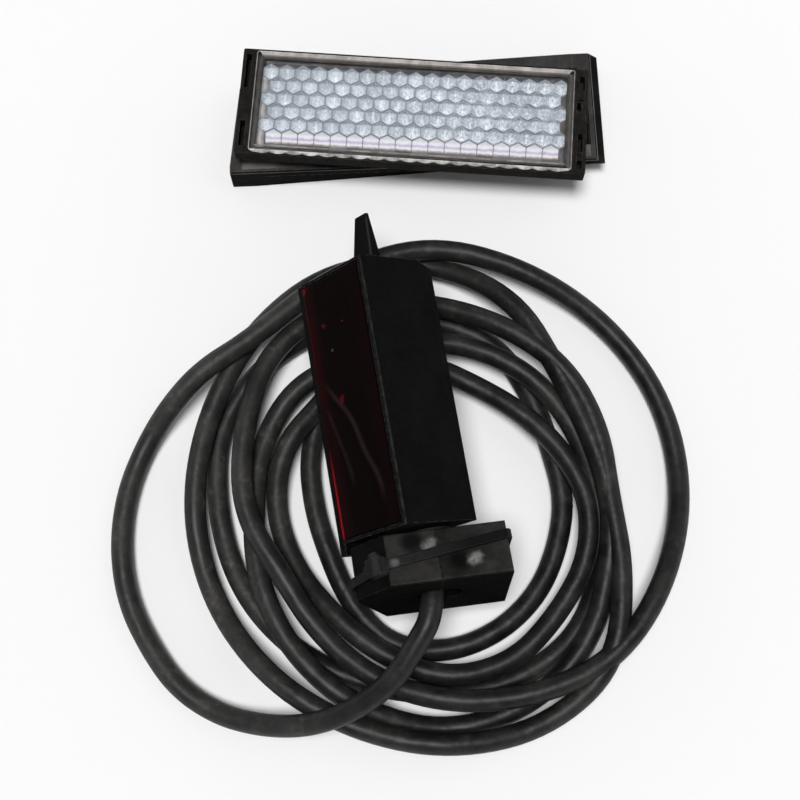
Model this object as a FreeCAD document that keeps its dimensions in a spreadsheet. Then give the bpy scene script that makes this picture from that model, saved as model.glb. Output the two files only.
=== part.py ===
"""A reflective photocell set: the sensor head on its coiled cable, and the reflector that returns its beam.

Millimetres, +Z up. The origin is the middle of the reflector base's mounting side, which lies on the
surface that everything rests on. +X runs along the reflector base, and the sensor lies towards -Y.
"""
import FreeCAD, Part
import math
import os
import re
from FreeCAD import Placement, Rotation, Vector

X_AXIS = Vector(1, 0, 0)
Y_AXIS = Vector(0, 1, 0)
Z_AXIS = Vector(0, 0, 1)

# Driving dimensions, in millimetres and degrees
DIMENSIONS = {
    # sensor housing: long runs along its local Y, wide along X, deep along Z from its back to its window
    "housing_long": 71.0,
    "housing_wide": 25.5,
    "housing_deep": 25.0,
    "housing_wall": 1.8,
    "housing_front_wall": 3.8,
    "housing_lug_wall": 3.5,
    "housing_bevel": 0.9,
    "housing_round": 1.2,
    "shoulder_along": 2.6,
    "shoulder_deep": 5.2,
    "lug_long": 16.0,
    "lug_base_wide": 8.6,
    "lug_base_thick": 4.2,
    "lug_tip_wide": 4.8,
    "lug_tip_thick": 1.2,
    "lug_base_shift": 0.7,
    "lug_tip_shift": 1.8,
    "lug_drop": 0.4,
    "lug_round": 0.4,
    # window and what seals it
    "window_thick": 2.0,
    "window_lip": 0.8,
    "window_play": 0.1,
    "seal_thick": 0.5,
    "view_wide": 18.0,
    "view_long": 60.0,
    # side cover, which also covers the cable end
    "cover_thick": 3.0,
    "cover_tongue": 3.2,
    "cover_set_back": 0.5,
    "cover_rib": 1.4,
    "cover_rib_thick": 1.2,
    # cable outlet in the housing's end
    "outlet_x": 0.4,
    "outlet_z": 6.4,
    "grommet_flange": 5.4,
    "grommet_neck": 4.1,
    "grommet_proud": 1.6,
    "outlet_inside": 6.0,
    "outlet_bend": 3.6,
    # electronics and optics
    "board_wide": 20.0,
    "board_long": 55.6,
    "board_thick": 1.6,
    "board_start": 10.4,
    "board_level": 3.6,
    "optics_wide": 18.0,
    "optics_start": 29.0,
    "optics_long": 36.0,
    "optics_tall": 15.2,
    "optics_bore": 5.4,
    "lens_radius": 6.4,
    "lens_seat": 2.4,
    "lens_tall": 3.2,
    "emitter_y": 56.0,
    "receiver_y": 38.0,
    "terminal_start": 10.4,
    "terminal_long": 6.0,
    "terminal_wide": 9.0,
    "terminal_tall": 5.0,
    "conductor_radius": 0.65,
    # how the sensor lies: the window-side corner at the lug end, and its three turns
    "sensor_x": -17.5,
    "sensor_y": -58.5,
    "sensor_z": 51.0,
    "sensor_yaw": 7.4,
    "sensor_pitch": 1.7,
    "sensor_roll": -49.5,
    # split ferrite core
    "core_wide": 31.5,
    "core_tall": 14.0,
    "core_deep": 24.2,
    "core_seam": 13.2,
    "core_bore": 3.5,
    "core_bore_deep": 11.0,
    "core_bore_lean": 2.6,
    "core_nose": 8.3,
    "core_nose_deep": 8.0,
    "core_nose_flat": 1.6,
    "core_bevel": 0.5,
    "core_x": -14.4,
    "core_y": -129.9,
    "core_z": 39.0,
    "core_yaw": 6.25,
    "core_pitch": -11.9,
    "core_roll": 4.1,
    # cable tie round the core
    "tie_wide": 2.6,
    "tie_thick": 0.8,
    "tie_play": 0.26,
    "tie_tilt": 7.8,
    "tie_level": -6.1,
    "tie_head": 4.8,
    "tie_head_tall": 3.6,
    "tie_tail": 1.6,
    # cable
    "cable_radius": 3.0,
    "coil_radius": 71.5,
    "coil_x": 0.8,
    "coil_y": -111.8,
    "coil_hole_radius": 33.0,
    "coil_hole_y": -119.5,
    "coil_tall": 10.8,
    "coil_bevel": 3.0,
    "notch_wide": 6.8,
    "notch_long": 18.0,
    # reflector: the clear prism plate, its holder and the base
    "prism_wide": 92.9,
    "prism_high": 31.3,
    "prism_back": 6.0,
    "prism_face": 9.2,
    "prism_rim_top": 10.0,
    "prism_rim": 2.0,
    "prism_foot": 5.6,
    "cell_pitch": 4.73,
    "cell_gap": 0.14,
    "cell_shoulder": 0.2,
    "holder_wide": 101.0,
    "holder_high": 33.0,
    "holder_tall": 9.0,
    "holder_play": 0.2,
    "holder_round": 0.6,
    "holder_flange": 4.4,
    "holder_inset": 2.2,
    "holder_end_inset": 3.6,
    "pocket_wide": 90.8,
    "pocket_high": 26.6,
    "pocket_floor": 1.0,
    "slot_x": 48.7,
    "slot_wide": 1.5,
    "long_slot_y": 9.4,
    "long_slot": 10.8,
    "short_slot_y": 10.2,
    "short_slot": 7.8,
    "latch_y": 7.0,
    "latch_long": 3.2,
    "latch_down": 0.5,
    "stop_y": -11.8,
    "stop_long": 2.6,
    "stop_down": 0.9,
    "keyhole_wide": 1.2,
    "keyhole_long": 2.8,
    "keyhole_y": 2.9,
    "tab_wide": 0.9,
    "tab_long": 5.6,
    "tab_tall": 0.5,
    "holder_x": -1.17,
    "holder_y": -3.67,
    "holder_yaw": -6.3,
    "base_wide": 110.6,
    "base_high": 34.3,
    "base_tall": 10.0,
    "base_wall": 1.8,
    "base_floor": 2.4,
    "base_rim": 1.2,
    "base_land": 0.6,
    "base_round": 0.8,
    "base_bevel": 0.5,
    "base_edge": 3.2,
    "base_start": 0.3,
    "base_skew": 4.3,
    "base_back_skew": 3.4,
    "base_undercut": 4.4,
    "end_slope": 3.0,
    "end_slope_deep": 3.0,
    "groove_wide": 1.4,
    "groove_long": 24.0,
    "groove_deep": 0.9,
    "screw_x": 47.4,
    "screw_y": -8.6,
    "screw_radius": 2.1,
    "screw_sink": 3.3,
    "screw_boss": 4.0,
}
CELLS_ACROSS = 19
CELL_ROWS = 6

document = FreeCAD.newDocument("reflective_photocell")
sheet = document.addObject("Spreadsheet::Sheet", "dims")
for row, (alias, number) in enumerate(DIMENSIONS.items(), start=1):
    sheet.set(f"A{row}", alias)
    sheet.set(f"B{row}", str(number))
    sheet.setAlias(f"B{row}", alias)
document.recompute()

sub_parts = []


def value(alias):
    """One of the sheet's dimensions."""
    return float(sheet.get(alias))


def in_sheet(formula):
    """The formula with the sheet's names written as references to its cells."""
    return re.sub(r"[a-z]\w*", lambda word: "dims." + word.group(), formula)


def bind(feature, sizes, at):
    """Bind a feature's sizes and its place to formulas in the sheet's names."""
    for name, formula in sizes.items():
        feature.setExpression(name, in_sheet(formula))
    for axis, formula in zip("xyz", at):
        feature.setExpression("Placement.Base." + axis, in_sheet(formula))
    document.recompute()


def new_body(label):
    """A named sub-part made from features."""
    body = document.addObject("PartDesign::Body", label)
    body.Label = label
    sub_parts.append(body)
    return body


def new_feature(label, shape):
    """A named sub-part whose shape is worked out here."""
    feature = document.addObject("Part::Feature", label)
    feature.Label = label
    feature.Shape = shape
    sub_parts.append(feature)
    return feature


def block(body, kind, name, size, at):
    """Add or take away a box, given its three edges and its lowest corner."""
    feature = body.newObject(f"PartDesign::{kind}Box", name)
    bind(feature, dict(zip(("Length", "Width", "Height"), size)), at)


def rod(body, kind, name, radius, length, at, along=Z_AXIS):
    """Add or take away a cylinder that starts at a point and runs along an axis."""
    feature = body.newObject(f"PartDesign::{kind}Cylinder", name)
    feature.Placement = Placement(Vector(), Rotation(Z_AXIS, along))
    bind(feature, {"Radius": radius, "Height": length}, at)


def soften(body, kind, name, size, chosen):
    """Round ("Fillet") or bevel ("Chamfer") the edges of the body's last feature that are chosen."""
    last = body.Tip
    edges = [f"Edge{number}" for number, edge in enumerate(last.Shape.Edges, start=1) if chosen(edge)]
    feature = body.newObject(f"PartDesign::{kind}", name)
    feature.Base = (last, edges)
    feature.setExpression("Radius" if kind == "Fillet" else "Size", in_sheet(size))
    document.recompute()


def runs_along(edge, axis):
    """Whether an edge is straight and parallel to an axis."""
    if edge.Curve.TypeId != "Part::GeomLine":
        return False
    return abs(edge.tangentAt(edge.FirstParameter).dot(axis)) > 0.999


def middle(edge):
    """The middle of an edge."""
    return edge.valueAt((edge.FirstParameter + edge.LastParameter) / 2)


def turned(yaw, pitch, roll):
    """The rotation of something rolled about Y, then pitched about X, then turned about Z."""
    return Rotation(Z_AXIS, yaw) * Rotation(X_AXIS, pitch) * Rotation(Y_AXIS, roll)


def sensor_lay():
    """Where the sensor lies. Its own frame has the cable end at Y = 0, its back at Z = 0 and its middle at X = 0."""
    turn = turned(value("sensor_yaw"), value("sensor_pitch"), value("sensor_roll"))
    corner = Vector(value("housing_wide") / 2, value("housing_long"), value("housing_deep"))
    lies_at = Vector(value("sensor_x"), value("sensor_y"), value("sensor_z"))
    return Placement(lies_at - turn.multVec(corner), turn)


def core_lay():
    """Where the ferrite core lies. Its own frame starts at the front left corner beside the sensor."""
    turn = turned(value("core_yaw"), value("core_pitch"), value("core_roll"))
    return Placement(Vector(value("core_x"), value("core_y"), value("core_z")), turn)


def holder_lay():
    """Where the holder lies, on top of the base and turned a little. Its own frame is its middle, underneath."""
    at = Vector(value("holder_x"), value("holder_y"), value("base_tall"))
    return Placement(at, Rotation(Z_AXIS, value("holder_yaw")))


def make_housing():
    """The moulded housing: open towards the side cover, rebated for the window, with a tapered lug on its end."""
    body = new_body("housing")
    block(body, "Additive", "housing_block", ("housing_wide", "housing_long", "housing_deep"),
          ("-housing_wide / 2", "0", "0"))
    half, long, deep = value("housing_wide") / 2, value("housing_long"), value("housing_deep")

    def crest(edge):
        return runs_along(edge, Y_AXIS) and middle(edge).x > half - 0.01 and middle(edge).z > deep - 0.01

    def heel(edge):
        return runs_along(edge, Y_AXIS) and middle(edge).x > half - 0.01 and middle(edge).z < 0.01

    soften(body, "Chamfer", "crest_bevel", "housing_bevel", crest)
    soften(body, "Fillet", "heel_round", "housing_round", heel)
    shoulder = body.newObject("PartDesign::SubtractiveWedge", "shoulder")
    bind(shoulder, {
        "Xmin": "-housing_wide", "Xmax": "housing_wide", "X2min": "-housing_wide", "X2max": "housing_wide",
        "Ymin": "0", "Ymax": "shoulder_along", "Zmin": "-0.01", "Zmax": "0",
        "Z2min": "-0.01", "Z2max": "shoulder_deep",
    }, ("0", "housing_long - shoulder_along", "0"))
    block(body, "Subtractive", "cavity",
          ("housing_wide - housing_wall", "housing_long - housing_wall - housing_lug_wall",
           "housing_deep - housing_wall - housing_front_wall"),
          ("-housing_wide / 2", "housing_wall", "housing_wall"))
    for name, start in (("near_rest", "board_start"), ("far_rest", "board_start + board_long - housing_wall")):
        block(body, "Additive", name, ("board_wide", "housing_wall", "board_level - housing_wall / 2"),
              ("-board_wide / 2", start, "housing_wall / 2"))
    block(body, "Subtractive", "window_rebate",
          ("housing_wide - window_lip - housing_bevel", "housing_long - 2 * window_lip", "window_thick + seal_thick"),
          ("-housing_wide / 2", "window_lip", "housing_deep - window_thick - seal_thick"))
    block(body, "Subtractive", "view_opening", ("view_wide", "view_long", "housing_front_wall"),
          ("-view_wide / 2", "housing_long - view_long - housing_lug_wall - 2", "housing_deep - housing_front_wall"))
    rod(body, "Subtractive", "outlet_hole", "grommet_neck + 0.1", "housing_wall",
        ("outlet_x", "0", "outlet_z"), Y_AXIS)
    lug = body.newObject("PartDesign::AdditiveWedge", "lug")
    bind(lug, {
        "Xmin": "lug_base_shift - lug_base_wide / 2", "Xmax": "lug_base_shift + lug_base_wide / 2",
        "X2min": "lug_tip_shift - lug_tip_wide / 2", "X2max": "lug_tip_shift + lug_tip_wide / 2",
        "Ymin": "0", "Ymax": "lug_long",
        "Zmin": "-lug_base_thick / 2", "Zmax": "lug_base_thick / 2",
        "Z2min": "-lug_tip_thick / 2", "Z2max": "lug_tip_thick / 2",
    }, ("0", "housing_long", "housing_deep / 2 - lug_drop"))

    def lug_corner(edge):
        return middle(edge).y > long + 1 and abs(edge.tangentAt(edge.FirstParameter).y) > 0.9

    soften(body, "Fillet", "lug_corners", "lug_round", lug_corner)
    body.Placement = sensor_lay()


def make_window():
    """The dark red window sheet, in the housing's rebate."""
    body = new_body("window")
    block(body, "Additive", "window_sheet",
          ("housing_wide - window_lip - housing_bevel - window_play",
           "housing_long - 2 * window_lip - 2 * window_play", "window_thick"),
          ("-housing_wide / 2", "window_lip + window_play", "housing_deep - window_thick"))
    top = value("housing_deep")
    soften(body, "Chamfer", "window_edge", "window_play * 3", lambda edge: middle(edge).z > top - 0.01)
    body.Placement = sensor_lay()


def make_window_seal():
    """The flat gasket between the window and the housing's front wall."""
    body = new_body("window_seal")
    block(body, "Additive", "seal_sheet",
          ("housing_wide - window_lip - housing_bevel - 2 * window_play",
           "housing_long - 2 * window_lip - 2 * window_play", "seal_thick"),
          ("-housing_wide / 2 + window_play", "window_lip + window_play", "housing_deep - window_thick - seal_thick"))
    block(body, "Subtractive", "seal_opening", ("view_wide", "view_long", "seal_thick"),
          ("-view_wide / 2", "housing_long - view_long - housing_lug_wall - 2",
           "housing_deep - window_thick - seal_thick"))
    body.Placement = sensor_lay()


def make_side_cover():
    """The cover on the housing's open side, with a tongue past the cable end and a locating rib inside."""
    body = new_body("side_cover")
    block(body, "Additive", "cover_plate",
          ("cover_thick", "housing_long + cover_tongue", "housing_deep - cover_set_back"),
          ("-housing_wide / 2 - cover_thick", "-cover_tongue", "0"))
    outside = -value("housing_wide") / 2 - value("cover_thick")
    soften(body, "Fillet", "cover_round", "housing_round", lambda edge: middle(edge).x < outside + 0.01)
    block(body, "Additive", "cover_rib_block",
          ("cover_rib", "housing_long - housing_wall - housing_lug_wall - 2 * window_play",
           "housing_deep - housing_wall - housing_front_wall - 2 * window_play"),
          ("-housing_wide / 2", "housing_wall + window_play", "housing_wall + window_play"))
    block(body, "Subtractive", "cover_rib_hollow",
          ("cover_rib", "housing_long - housing_wall - housing_lug_wall - 2 * window_play - 2 * cover_rib_thick",
           "housing_deep - housing_wall - housing_front_wall - 2 * window_play - 2 * cover_rib_thick"),
          ("-housing_wide / 2", "housing_wall + window_play + cover_rib_thick",
           "housing_wall + window_play + cover_rib_thick"))
    body.Placement = sensor_lay()


def make_grommet():
    """The rubber grommet that the cable leaves the housing through."""
    body = new_body("cable_grommet")
    rod(body, "Additive", "outer_flange", "grommet_flange", "grommet_proud",
        ("outlet_x", "-grommet_proud", "outlet_z"), Y_AXIS)
    proud = value("grommet_proud")
    soften(body, "Fillet", "flange_round", "grommet_proud / 2", lambda edge: middle(edge).y < -proud + 0.01)
    rod(body, "Additive", "neck", "grommet_neck", "housing_wall", ("outlet_x", "0", "outlet_z"), Y_AXIS)
    rod(body, "Additive", "inner_flange", "grommet_neck + 0.4", "grommet_proud / 2",
        ("outlet_x", "housing_wall", "outlet_z"), Y_AXIS)
    rod(body, "Subtractive", "cable_bore", "cable_radius + 0.15", "2 * grommet_proud + housing_wall",
        ("outlet_x", "-grommet_proud", "outlet_z"), Y_AXIS)
    body.Placement = sensor_lay()


def make_circuit_board():
    """The circuit board, along the housing's back."""
    body = new_body("circuit_board")
    block(body, "Additive", "board_sheet", ("board_wide", "board_long", "board_thick"),
          ("-board_wide / 2", "board_start", "board_level"))
    body.Placement = sensor_lay()


def make_optics_block():
    """The moulded block that holds both lenses, with a dark tunnel under each."""
    body = new_body("optics_block")
    level = "board_level + board_thick"
    block(body, "Additive", "optics_body", ("optics_wide", "optics_long", "optics_tall"),
          ("-optics_wide / 2", "optics_start", level))
    soften(body, "Fillet", "optics_round", "housing_round", lambda edge: runs_along(edge, Z_AXIS))
    for channel in ("emitter", "receiver"):
        rod(body, "Subtractive", channel + "_tunnel", "optics_bore", "optics_tall", ("0", channel + "_y", level))
        rod(body, "Subtractive", channel + "_seat", "lens_radius + window_play", "lens_seat",
            ("0", channel + "_y", level + " + optics_tall - lens_seat"))
    body.Placement = sensor_lay()


def make_lens(channel):
    """A domed lens in its seat at the top of the optics block."""
    body = new_body(channel + "_lens")
    rod(body, "Additive", channel + "_disc", "lens_radius", "lens_tall",
        ("0", channel + "_y", "board_level + board_thick + optics_tall - lens_seat"))
    crown = value("board_level") + value("board_thick") + value("optics_tall") - value("lens_seat") + 1
    soften(body, "Fillet", channel + "_dome", "lens_tall - 0.6", lambda edge: middle(edge).z > crown)
    body.Placement = sensor_lay()


def make_round_component(label, radius, tall, x, y, rounding):
    """An upright round component on the board, with a rounded top."""
    body = new_body(label)
    rod(body, "Additive", label + "_can", radius, tall, (x, y, "board_level + board_thick"))
    foot = value("board_level") + value("board_thick")
    soften(body, "Fillet", label + "_top", rounding, lambda edge: middle(edge).z > foot + 1)
    body.Placement = sensor_lay()


def make_square_component(label, size, x, y, bevel):
    """A flat moulded component on the board, centred on a point, with its top edges bevelled."""
    body = new_body(label)
    wide, long, tall = size
    block(body, "Additive", label + "_package", size,
          (f"{x} - ({wide}) / 2", f"{y} - ({long}) / 2", "board_level + board_thick"))
    foot = value("board_level") + value("board_thick")
    soften(body, "Chamfer", label + "_edge", bevel, lambda edge: middle(edge).z > foot + 1)
    body.Placement = sensor_lay()


def make_conductors():
    """The four insulated conductors from the end of the cable to the terminal block."""
    start, end = value("outlet_inside"), value("terminal_start")
    radius = value("conductor_radius")
    spread = 1.25 * radius
    wires = []
    for across in (-spread, spread):
        for up in (-spread, spread):
            foot = Vector(value("outlet_x") + across, start, value("outlet_z") + up)
            wires.append(Part.makeCylinder(radius, end - start, foot, Y_AXIS))
    feature = new_feature("conductors", Part.makeCompound(wires))
    feature.Placement = sensor_lay()


def make_core_half(label, left):
    """One half of the split ferrite core, with half of its oval bore. The left half has a blunt nose."""
    body = new_body(label)
    start, end = ("0", "core_seam") if left else ("core_seam", "core_wide")
    block(body, "Additive", label + "_block", (f"{end} - {start}", "core_tall", "core_deep"),
          (start, "-core_tall", "-core_deep"))
    outer = 0 if left else value("core_wide")
    if left:
        nose = body.newObject("PartDesign::AdditiveWedge", "nose")
        nose.Placement = Placement(Vector(), Rotation(Z_AXIS, 90))
        bind(nose, {
            "Xmin": "-core_tall", "Xmax": "0", "X2min": "-core_tall", "X2max": "0",
            "Ymin": "0", "Ymax": "core_nose", "Zmin": "-core_deep", "Zmax": "0",
            "Z2min": "-core_nose_deep - core_nose_flat / 2", "Z2max": "-core_nose_deep + core_nose_flat / 2",
        }, ("0", "0", "0"))
        outer = -value("core_nose")

    def outer_edge(edge):
        return runs_along(edge, X_AXIS) or (runs_along(edge, Y_AXIS) and abs(middle(edge).x - outer) < 0.01)

    soften(body, "Chamfer", label + "_edges", "core_bevel", outer_edge)
    block(body, "Subtractive", label + "_bore", ("2 * core_bore_lean", "core_tall", "2 * core_bore"),
          ("core_seam - core_bore_lean", "-core_tall", "-core_bore_deep - core_bore"))
    rod(body, "Subtractive", label + "_bore_end", "core_bore", "core_tall",
        (f"core_seam {'-' if left else '+'} core_bore_lean", "-core_tall", "-core_bore_deep"), Y_AXIS)
    body.Placement = core_lay()


def make_cable_tie():
    """The nylon tie round the core: a slanting strap, its square head on the nose, and the cut tail."""
    wide, deep, nose = value("core_wide"), value("core_deep"), value("core_nose")
    low = -value("core_nose_deep") - value("core_nose_flat") / 2
    high = -value("core_nose_deep") + value("core_nose_flat") / 2
    tilt = math.radians(value("tie_tilt"))
    pivot = wide / 2
    section = [(0, 0), (wide, 0), (wide, -deep), (0, -deep), (-nose, low), (-nose, high), (0, 0)]
    corners = [Vector((x - pivot) / math.cos(tilt), 0, z) for x, z in section]
    outline = Part.makePolygon(corners)
    inside = outline.makeOffset2D(value("tie_play"))
    outside = outline.makeOffset2D(value("tie_play") + value("tie_thick"))
    band = Part.Face(outside).cut(Part.Face(inside))
    strap = band.extrude(Vector(0, value("tie_wide"), 0))
    strap.translate(Vector(0, -value("tie_wide") / 2, 0))

    head_size, head_tall = value("tie_head"), value("tie_head_tall")
    front, tip = corners[0], corners[-2]
    slope = (tip - front).normalize()
    normal = Vector(slope.z, 0, -slope.x)
    seat = (front + tip) / 2 + normal * value("tie_play")
    head = Part.makeBox(head_size, head_size, head_tall, Vector(-head_size / 2, -head_size / 2, 0))
    head = head.makeChamfer(0.5, [edge for edge in head.Edges if middle(edge).z > head_tall - 0.01])
    tail_wide = value("tie_wide") - 0.2
    tail = Part.makeBox(value("tie_thick"), tail_wide, value("tie_tail"),
                        Vector(-value("tie_thick") / 2, -tail_wide / 2, head_tall))
    top = head.fuse(tail)
    top.Placement = Placement(seat, Rotation(Z_AXIS, normal))
    tie = strap.fuse(top).removeSplitter()
    tie.Placement = Placement(Vector(pivot, value("tie_level"), 0), Rotation(Z_AXIS, value("tie_tilt")))
    feature = new_feature("cable_tie", tie)
    feature.Placement = core_lay() * tie.Placement


def lead_route():
    """The route of the cable from inside the housing, through the core and over the coil, to the coil's side."""
    sensor, core = sensor_lay(), core_lay()
    inside = sensor.multVec(Vector(value("outlet_x"), value("outlet_inside"), value("outlet_z")))
    bend = sensor.multVec(Vector(value("outlet_x"), -value("outlet_bend"), value("outlet_z")))
    core_out = core.multVec(Vector(value("core_seam") - value("core_bore_lean"), -value("core_tall") - 5,
                                   -value("core_bore_deep")))
    free = [
        (-7.0, -157.0, 29.6), (-12.0, -164.2, 26.4), (-19.2, -170.0, 22.2), (-28.4, -174.2, 17.8),
        (-38.8, -176.0, 12.8), (-50.6, -174.8, 7.8), (-61.8, -171.2, 4.2), (-72.2, -163.8, 3.1),
        (-79.6, -153.0, 3.1), (-85.8, -140.0, 3.1), (-88.0, -124.8, 3.1), (-86.2, -109.4, 3.1),
        (-80.4, -95.2, 3.1), (-73.2, -83.6, 3.1), (-64.2, -74.0, 3.1), (-51.6, -66.6, 3.1),
    ]
    return [inside, bend, core_out] + [Vector(*point) for point in free]


def rounded_path(points):
    """Straight runs between the points, joined by tangent arcs as large as the runs allow."""
    edges, radii = [], []
    start = points[0]
    for before, corner, after in zip(points, points[1:], points[2:]):
        towards, onwards = (corner - before), (after - corner)
        turn = towards.getAngle(onwards)
        reach = 0.45 * min(towards.Length, onwards.Length)
        radius = reach / math.tan(turn / 2)
        arc_in = corner - towards.normalize() * reach
        arc_out = corner + onwards.normalize() * reach
        bisector = (onwards - towards).normalize()
        nearest = corner + bisector * (radius / math.cos(turn / 2) - radius)
        edges.append(Part.LineSegment(start, arc_in).toShape())
        edges.append(Part.Arc(arc_in, nearest, arc_out).toShape())
        radii.append(radius)
        start = arc_out
    edges.append(Part.LineSegment(start, points[-1]).toShape())
    print("cable bend radii", " ".join(f"{radius:.0f}" for radius in radii))
    return Part.Wire(edges)


def make_cable_lead():
    """The loose stretch of the cable, from the housing to the coil."""
    points = lead_route()
    path = rounded_path(points)
    radius = value("cable_radius")
    ring = Part.Wire(Part.Circle(points[0], points[1] - points[0], radius).toShape())
    tube = path.makePipeShell([ring], True, False)
    print(f"cable lead {path.Length:.0f} mm, volume {tube.Volume / (math.pi * radius**2 * path.Length):.4f} of it")
    new_feature("cable_lead", tube)


def make_cable_coil():
    """The outer shape of the loose coil, notched where the lead joins it."""
    body = new_body("cable_coil")
    rod(body, "Additive", "coil_disc", "coil_radius", "coil_tall", ("coil_x", "coil_y", "0"))
    rod(body, "Subtractive", "coil_hole", "coil_hole_radius", "coil_tall", ("coil_x", "coil_hole_y", "0"))
    soften(body, "Chamfer", "coil_edges", "coil_bevel", lambda edge: edge.Curve.TypeId == "Part::GeomCircle")
    before, end = lead_route()[-2:]
    heading = Vector(before.x - end.x, before.y - end.y, 0)
    notch = body.newObject("PartDesign::SubtractiveBox", "lead_notch")
    turn = Rotation(X_AXIS, heading)
    corner = Vector(end.x, end.y, 0) - turn.multVec(Vector(0, value("notch_wide") / 2, 0))
    notch.Placement = Placement(corner, turn)
    for name, formula in (("Length", "notch_long"), ("Width", "notch_wide"), ("Height", "coil_tall")):
        notch.setExpression(name, in_sheet(formula))
    document.recompute()


def prism_cell():
    """One hexagonal prism pin with a cube corner for its tip, pointing down from the plate's back."""
    back, pitch = value("prism_back"), value("cell_pitch")
    flat_to_flat = pitch - value("cell_gap")
    corner_radius = flat_to_flat / math.sqrt(3)
    edge = corner_radius * math.sqrt(1.5)
    apex = back - value("cell_shoulder") - 2 * edge / math.sqrt(3)
    corners = []
    for step in range(7):
        angle = math.radians(30 + 60 * step)
        corners.append(Vector(corner_radius * math.cos(angle), corner_radius * math.sin(angle), apex))
    pin = Part.Face(Part.makePolygon(corners)).extrude(Vector(0, 0, back - apex))
    cube = Part.makeBox(4 * edge, 4 * edge, 4 * edge)
    stand = Rotation(Vector(1, 1, 1), Z_AXIS)
    lean = stand.multVec(X_AXIS)
    align = Rotation(Z_AXIS, 90 - math.degrees(math.atan2(lean.y, lean.x)))
    cube.Placement = Placement(Vector(0, 0, apex), align * stand)
    return pin.common(cube)


def make_reflector_prism():
    """The clear reflector: a plate with a raised rim, a skirt that seats in the holder, and prism pins behind."""
    wide, high = value("prism_wide"), value("prism_high")
    back, face, rim_top = value("prism_back"), value("prism_face"), value("prism_rim_top")
    rim, foot, pitch = value("prism_rim"), value("prism_foot"), value("cell_pitch")
    shell = Part.makeBox(wide, high, rim_top - foot, Vector(-wide / 2, -high / 2, foot))
    shell = shell.makeFillet(1.2, [edge for edge in shell.Edges if runs_along(edge, Z_AXIS)])
    inner = Vector(-wide / 2 + rim, -high / 2 + rim, 0)
    front = Part.makeBox(wide - 2 * rim, high - 2 * rim, rim_top - face, inner + Vector(0, 0, face))
    behind = Part.makeBox(wide - 2 * rim, high - 2 * rim, back - foot, inner + Vector(0, 0, foot))
    plate = shell.cut([front, behind])
    row_step = pitch * math.sqrt(3) / 2
    pin = prism_cell()
    pins = []
    for row in range(CELL_ROWS):
        count = CELLS_ACROSS - row % 2
        for column in range(count):
            x = (column - (count - 1) / 2) * pitch
            y = ((CELL_ROWS - 1) / 2 - row) * row_step
            pins.append(pin.translated(Vector(x, y, 0)))
    feature = new_feature("reflector_prism", plate.fuse(pins))
    feature.Placement = holder_lay()


def make_reflector_holder():
    """The black holder: a flange round the clear reflector, slotted at its ends, on a narrower body."""
    body = new_body("reflector_holder")
    block(body, "Additive", "holder_flange_block", ("holder_wide", "holder_high", "holder_flange"),
          ("-holder_wide / 2", "-holder_high / 2", "holder_tall - holder_flange"))
    soften(body, "Fillet", "holder_corners", "holder_round", lambda edge: runs_along(edge, Z_AXIS))
    block(body, "Additive", "holder_body",
          ("holder_wide - 2 * holder_end_inset", "holder_high - 2 * holder_inset", "holder_tall - holder_flange"),
          ("-holder_wide / 2 + holder_end_inset", "-holder_high / 2 + holder_inset", "0"))
    block(body, "Subtractive", "prism_seat",
          ("prism_wide + 2 * holder_play", "prism_high + 2 * holder_play", "holder_tall - prism_foot"),
          ("-prism_wide / 2 - holder_play", "-prism_high / 2 - holder_play", "prism_foot"))
    block(body, "Subtractive", "pin_pocket", ("pocket_wide", "pocket_high", "prism_foot - pocket_floor"),
          ("-pocket_wide / 2", "-pocket_high / 2", "pocket_floor"))
    flange_foot = "holder_tall - holder_flange"
    for name, x, y, long in (
        ("left_long_slot", "-slot_x", "long_slot_y", "long_slot"),
        ("left_short_slot", "-slot_x", "-short_slot_y", "short_slot"),
        ("right_long_slot", "slot_x", "-long_slot_y", "long_slot"),
        ("right_short_slot", "slot_x", "short_slot_y", "short_slot"),
    ):
        block(body, "Subtractive", name, ("slot_wide", long, "holder_flange"),
              (f"{x} - slot_wide / 2", f"{y} - {long} / 2", flange_foot))
    block(body, "Additive", "latch", ("slot_wide", "latch_long", "holder_flange - latch_down"),
          ("slot_x - slot_wide / 2", "latch_y", flange_foot))
    block(body, "Additive", "stop", ("slot_wide", "stop_long", "holder_flange - stop_down"),
          ("slot_x - slot_wide / 2", "stop_y", flange_foot))
    block(body, "Subtractive", "keyhole", ("keyhole_wide", "keyhole_long", "holder_flange"),
          ("slot_x - slot_wide / 2 - keyhole_wide / 2", "keyhole_y", flange_foot))
    block(body, "Additive", "tab", ("tab_wide", "tab_long", "tab_tall"),
          ("holder_wide / 2 - holder_round - tab_wide", "keyhole_y - tab_long / 2", "holder_tall"))
    body.Placement = holder_lay()


def taper(body, name, turn, near, far, run, levels, at):
    """Take away a wedge that stays between two levels and widens along its run. Near and far are its two sides."""
    feature = body.newObject("PartDesign::SubtractiveWedge", name)
    feature.Placement = Placement(Vector(), Rotation(Z_AXIS, turn))
    bind(feature, {
        "Xmin": near[0], "Xmax": near[1], "X2min": far[0], "X2max": far[1], "Ymin": "0", "Ymax": run,
        "Zmin": levels[0], "Zmax": levels[1], "Z2min": levels[2], "Z2max": levels[3],
    }, at)


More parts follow.
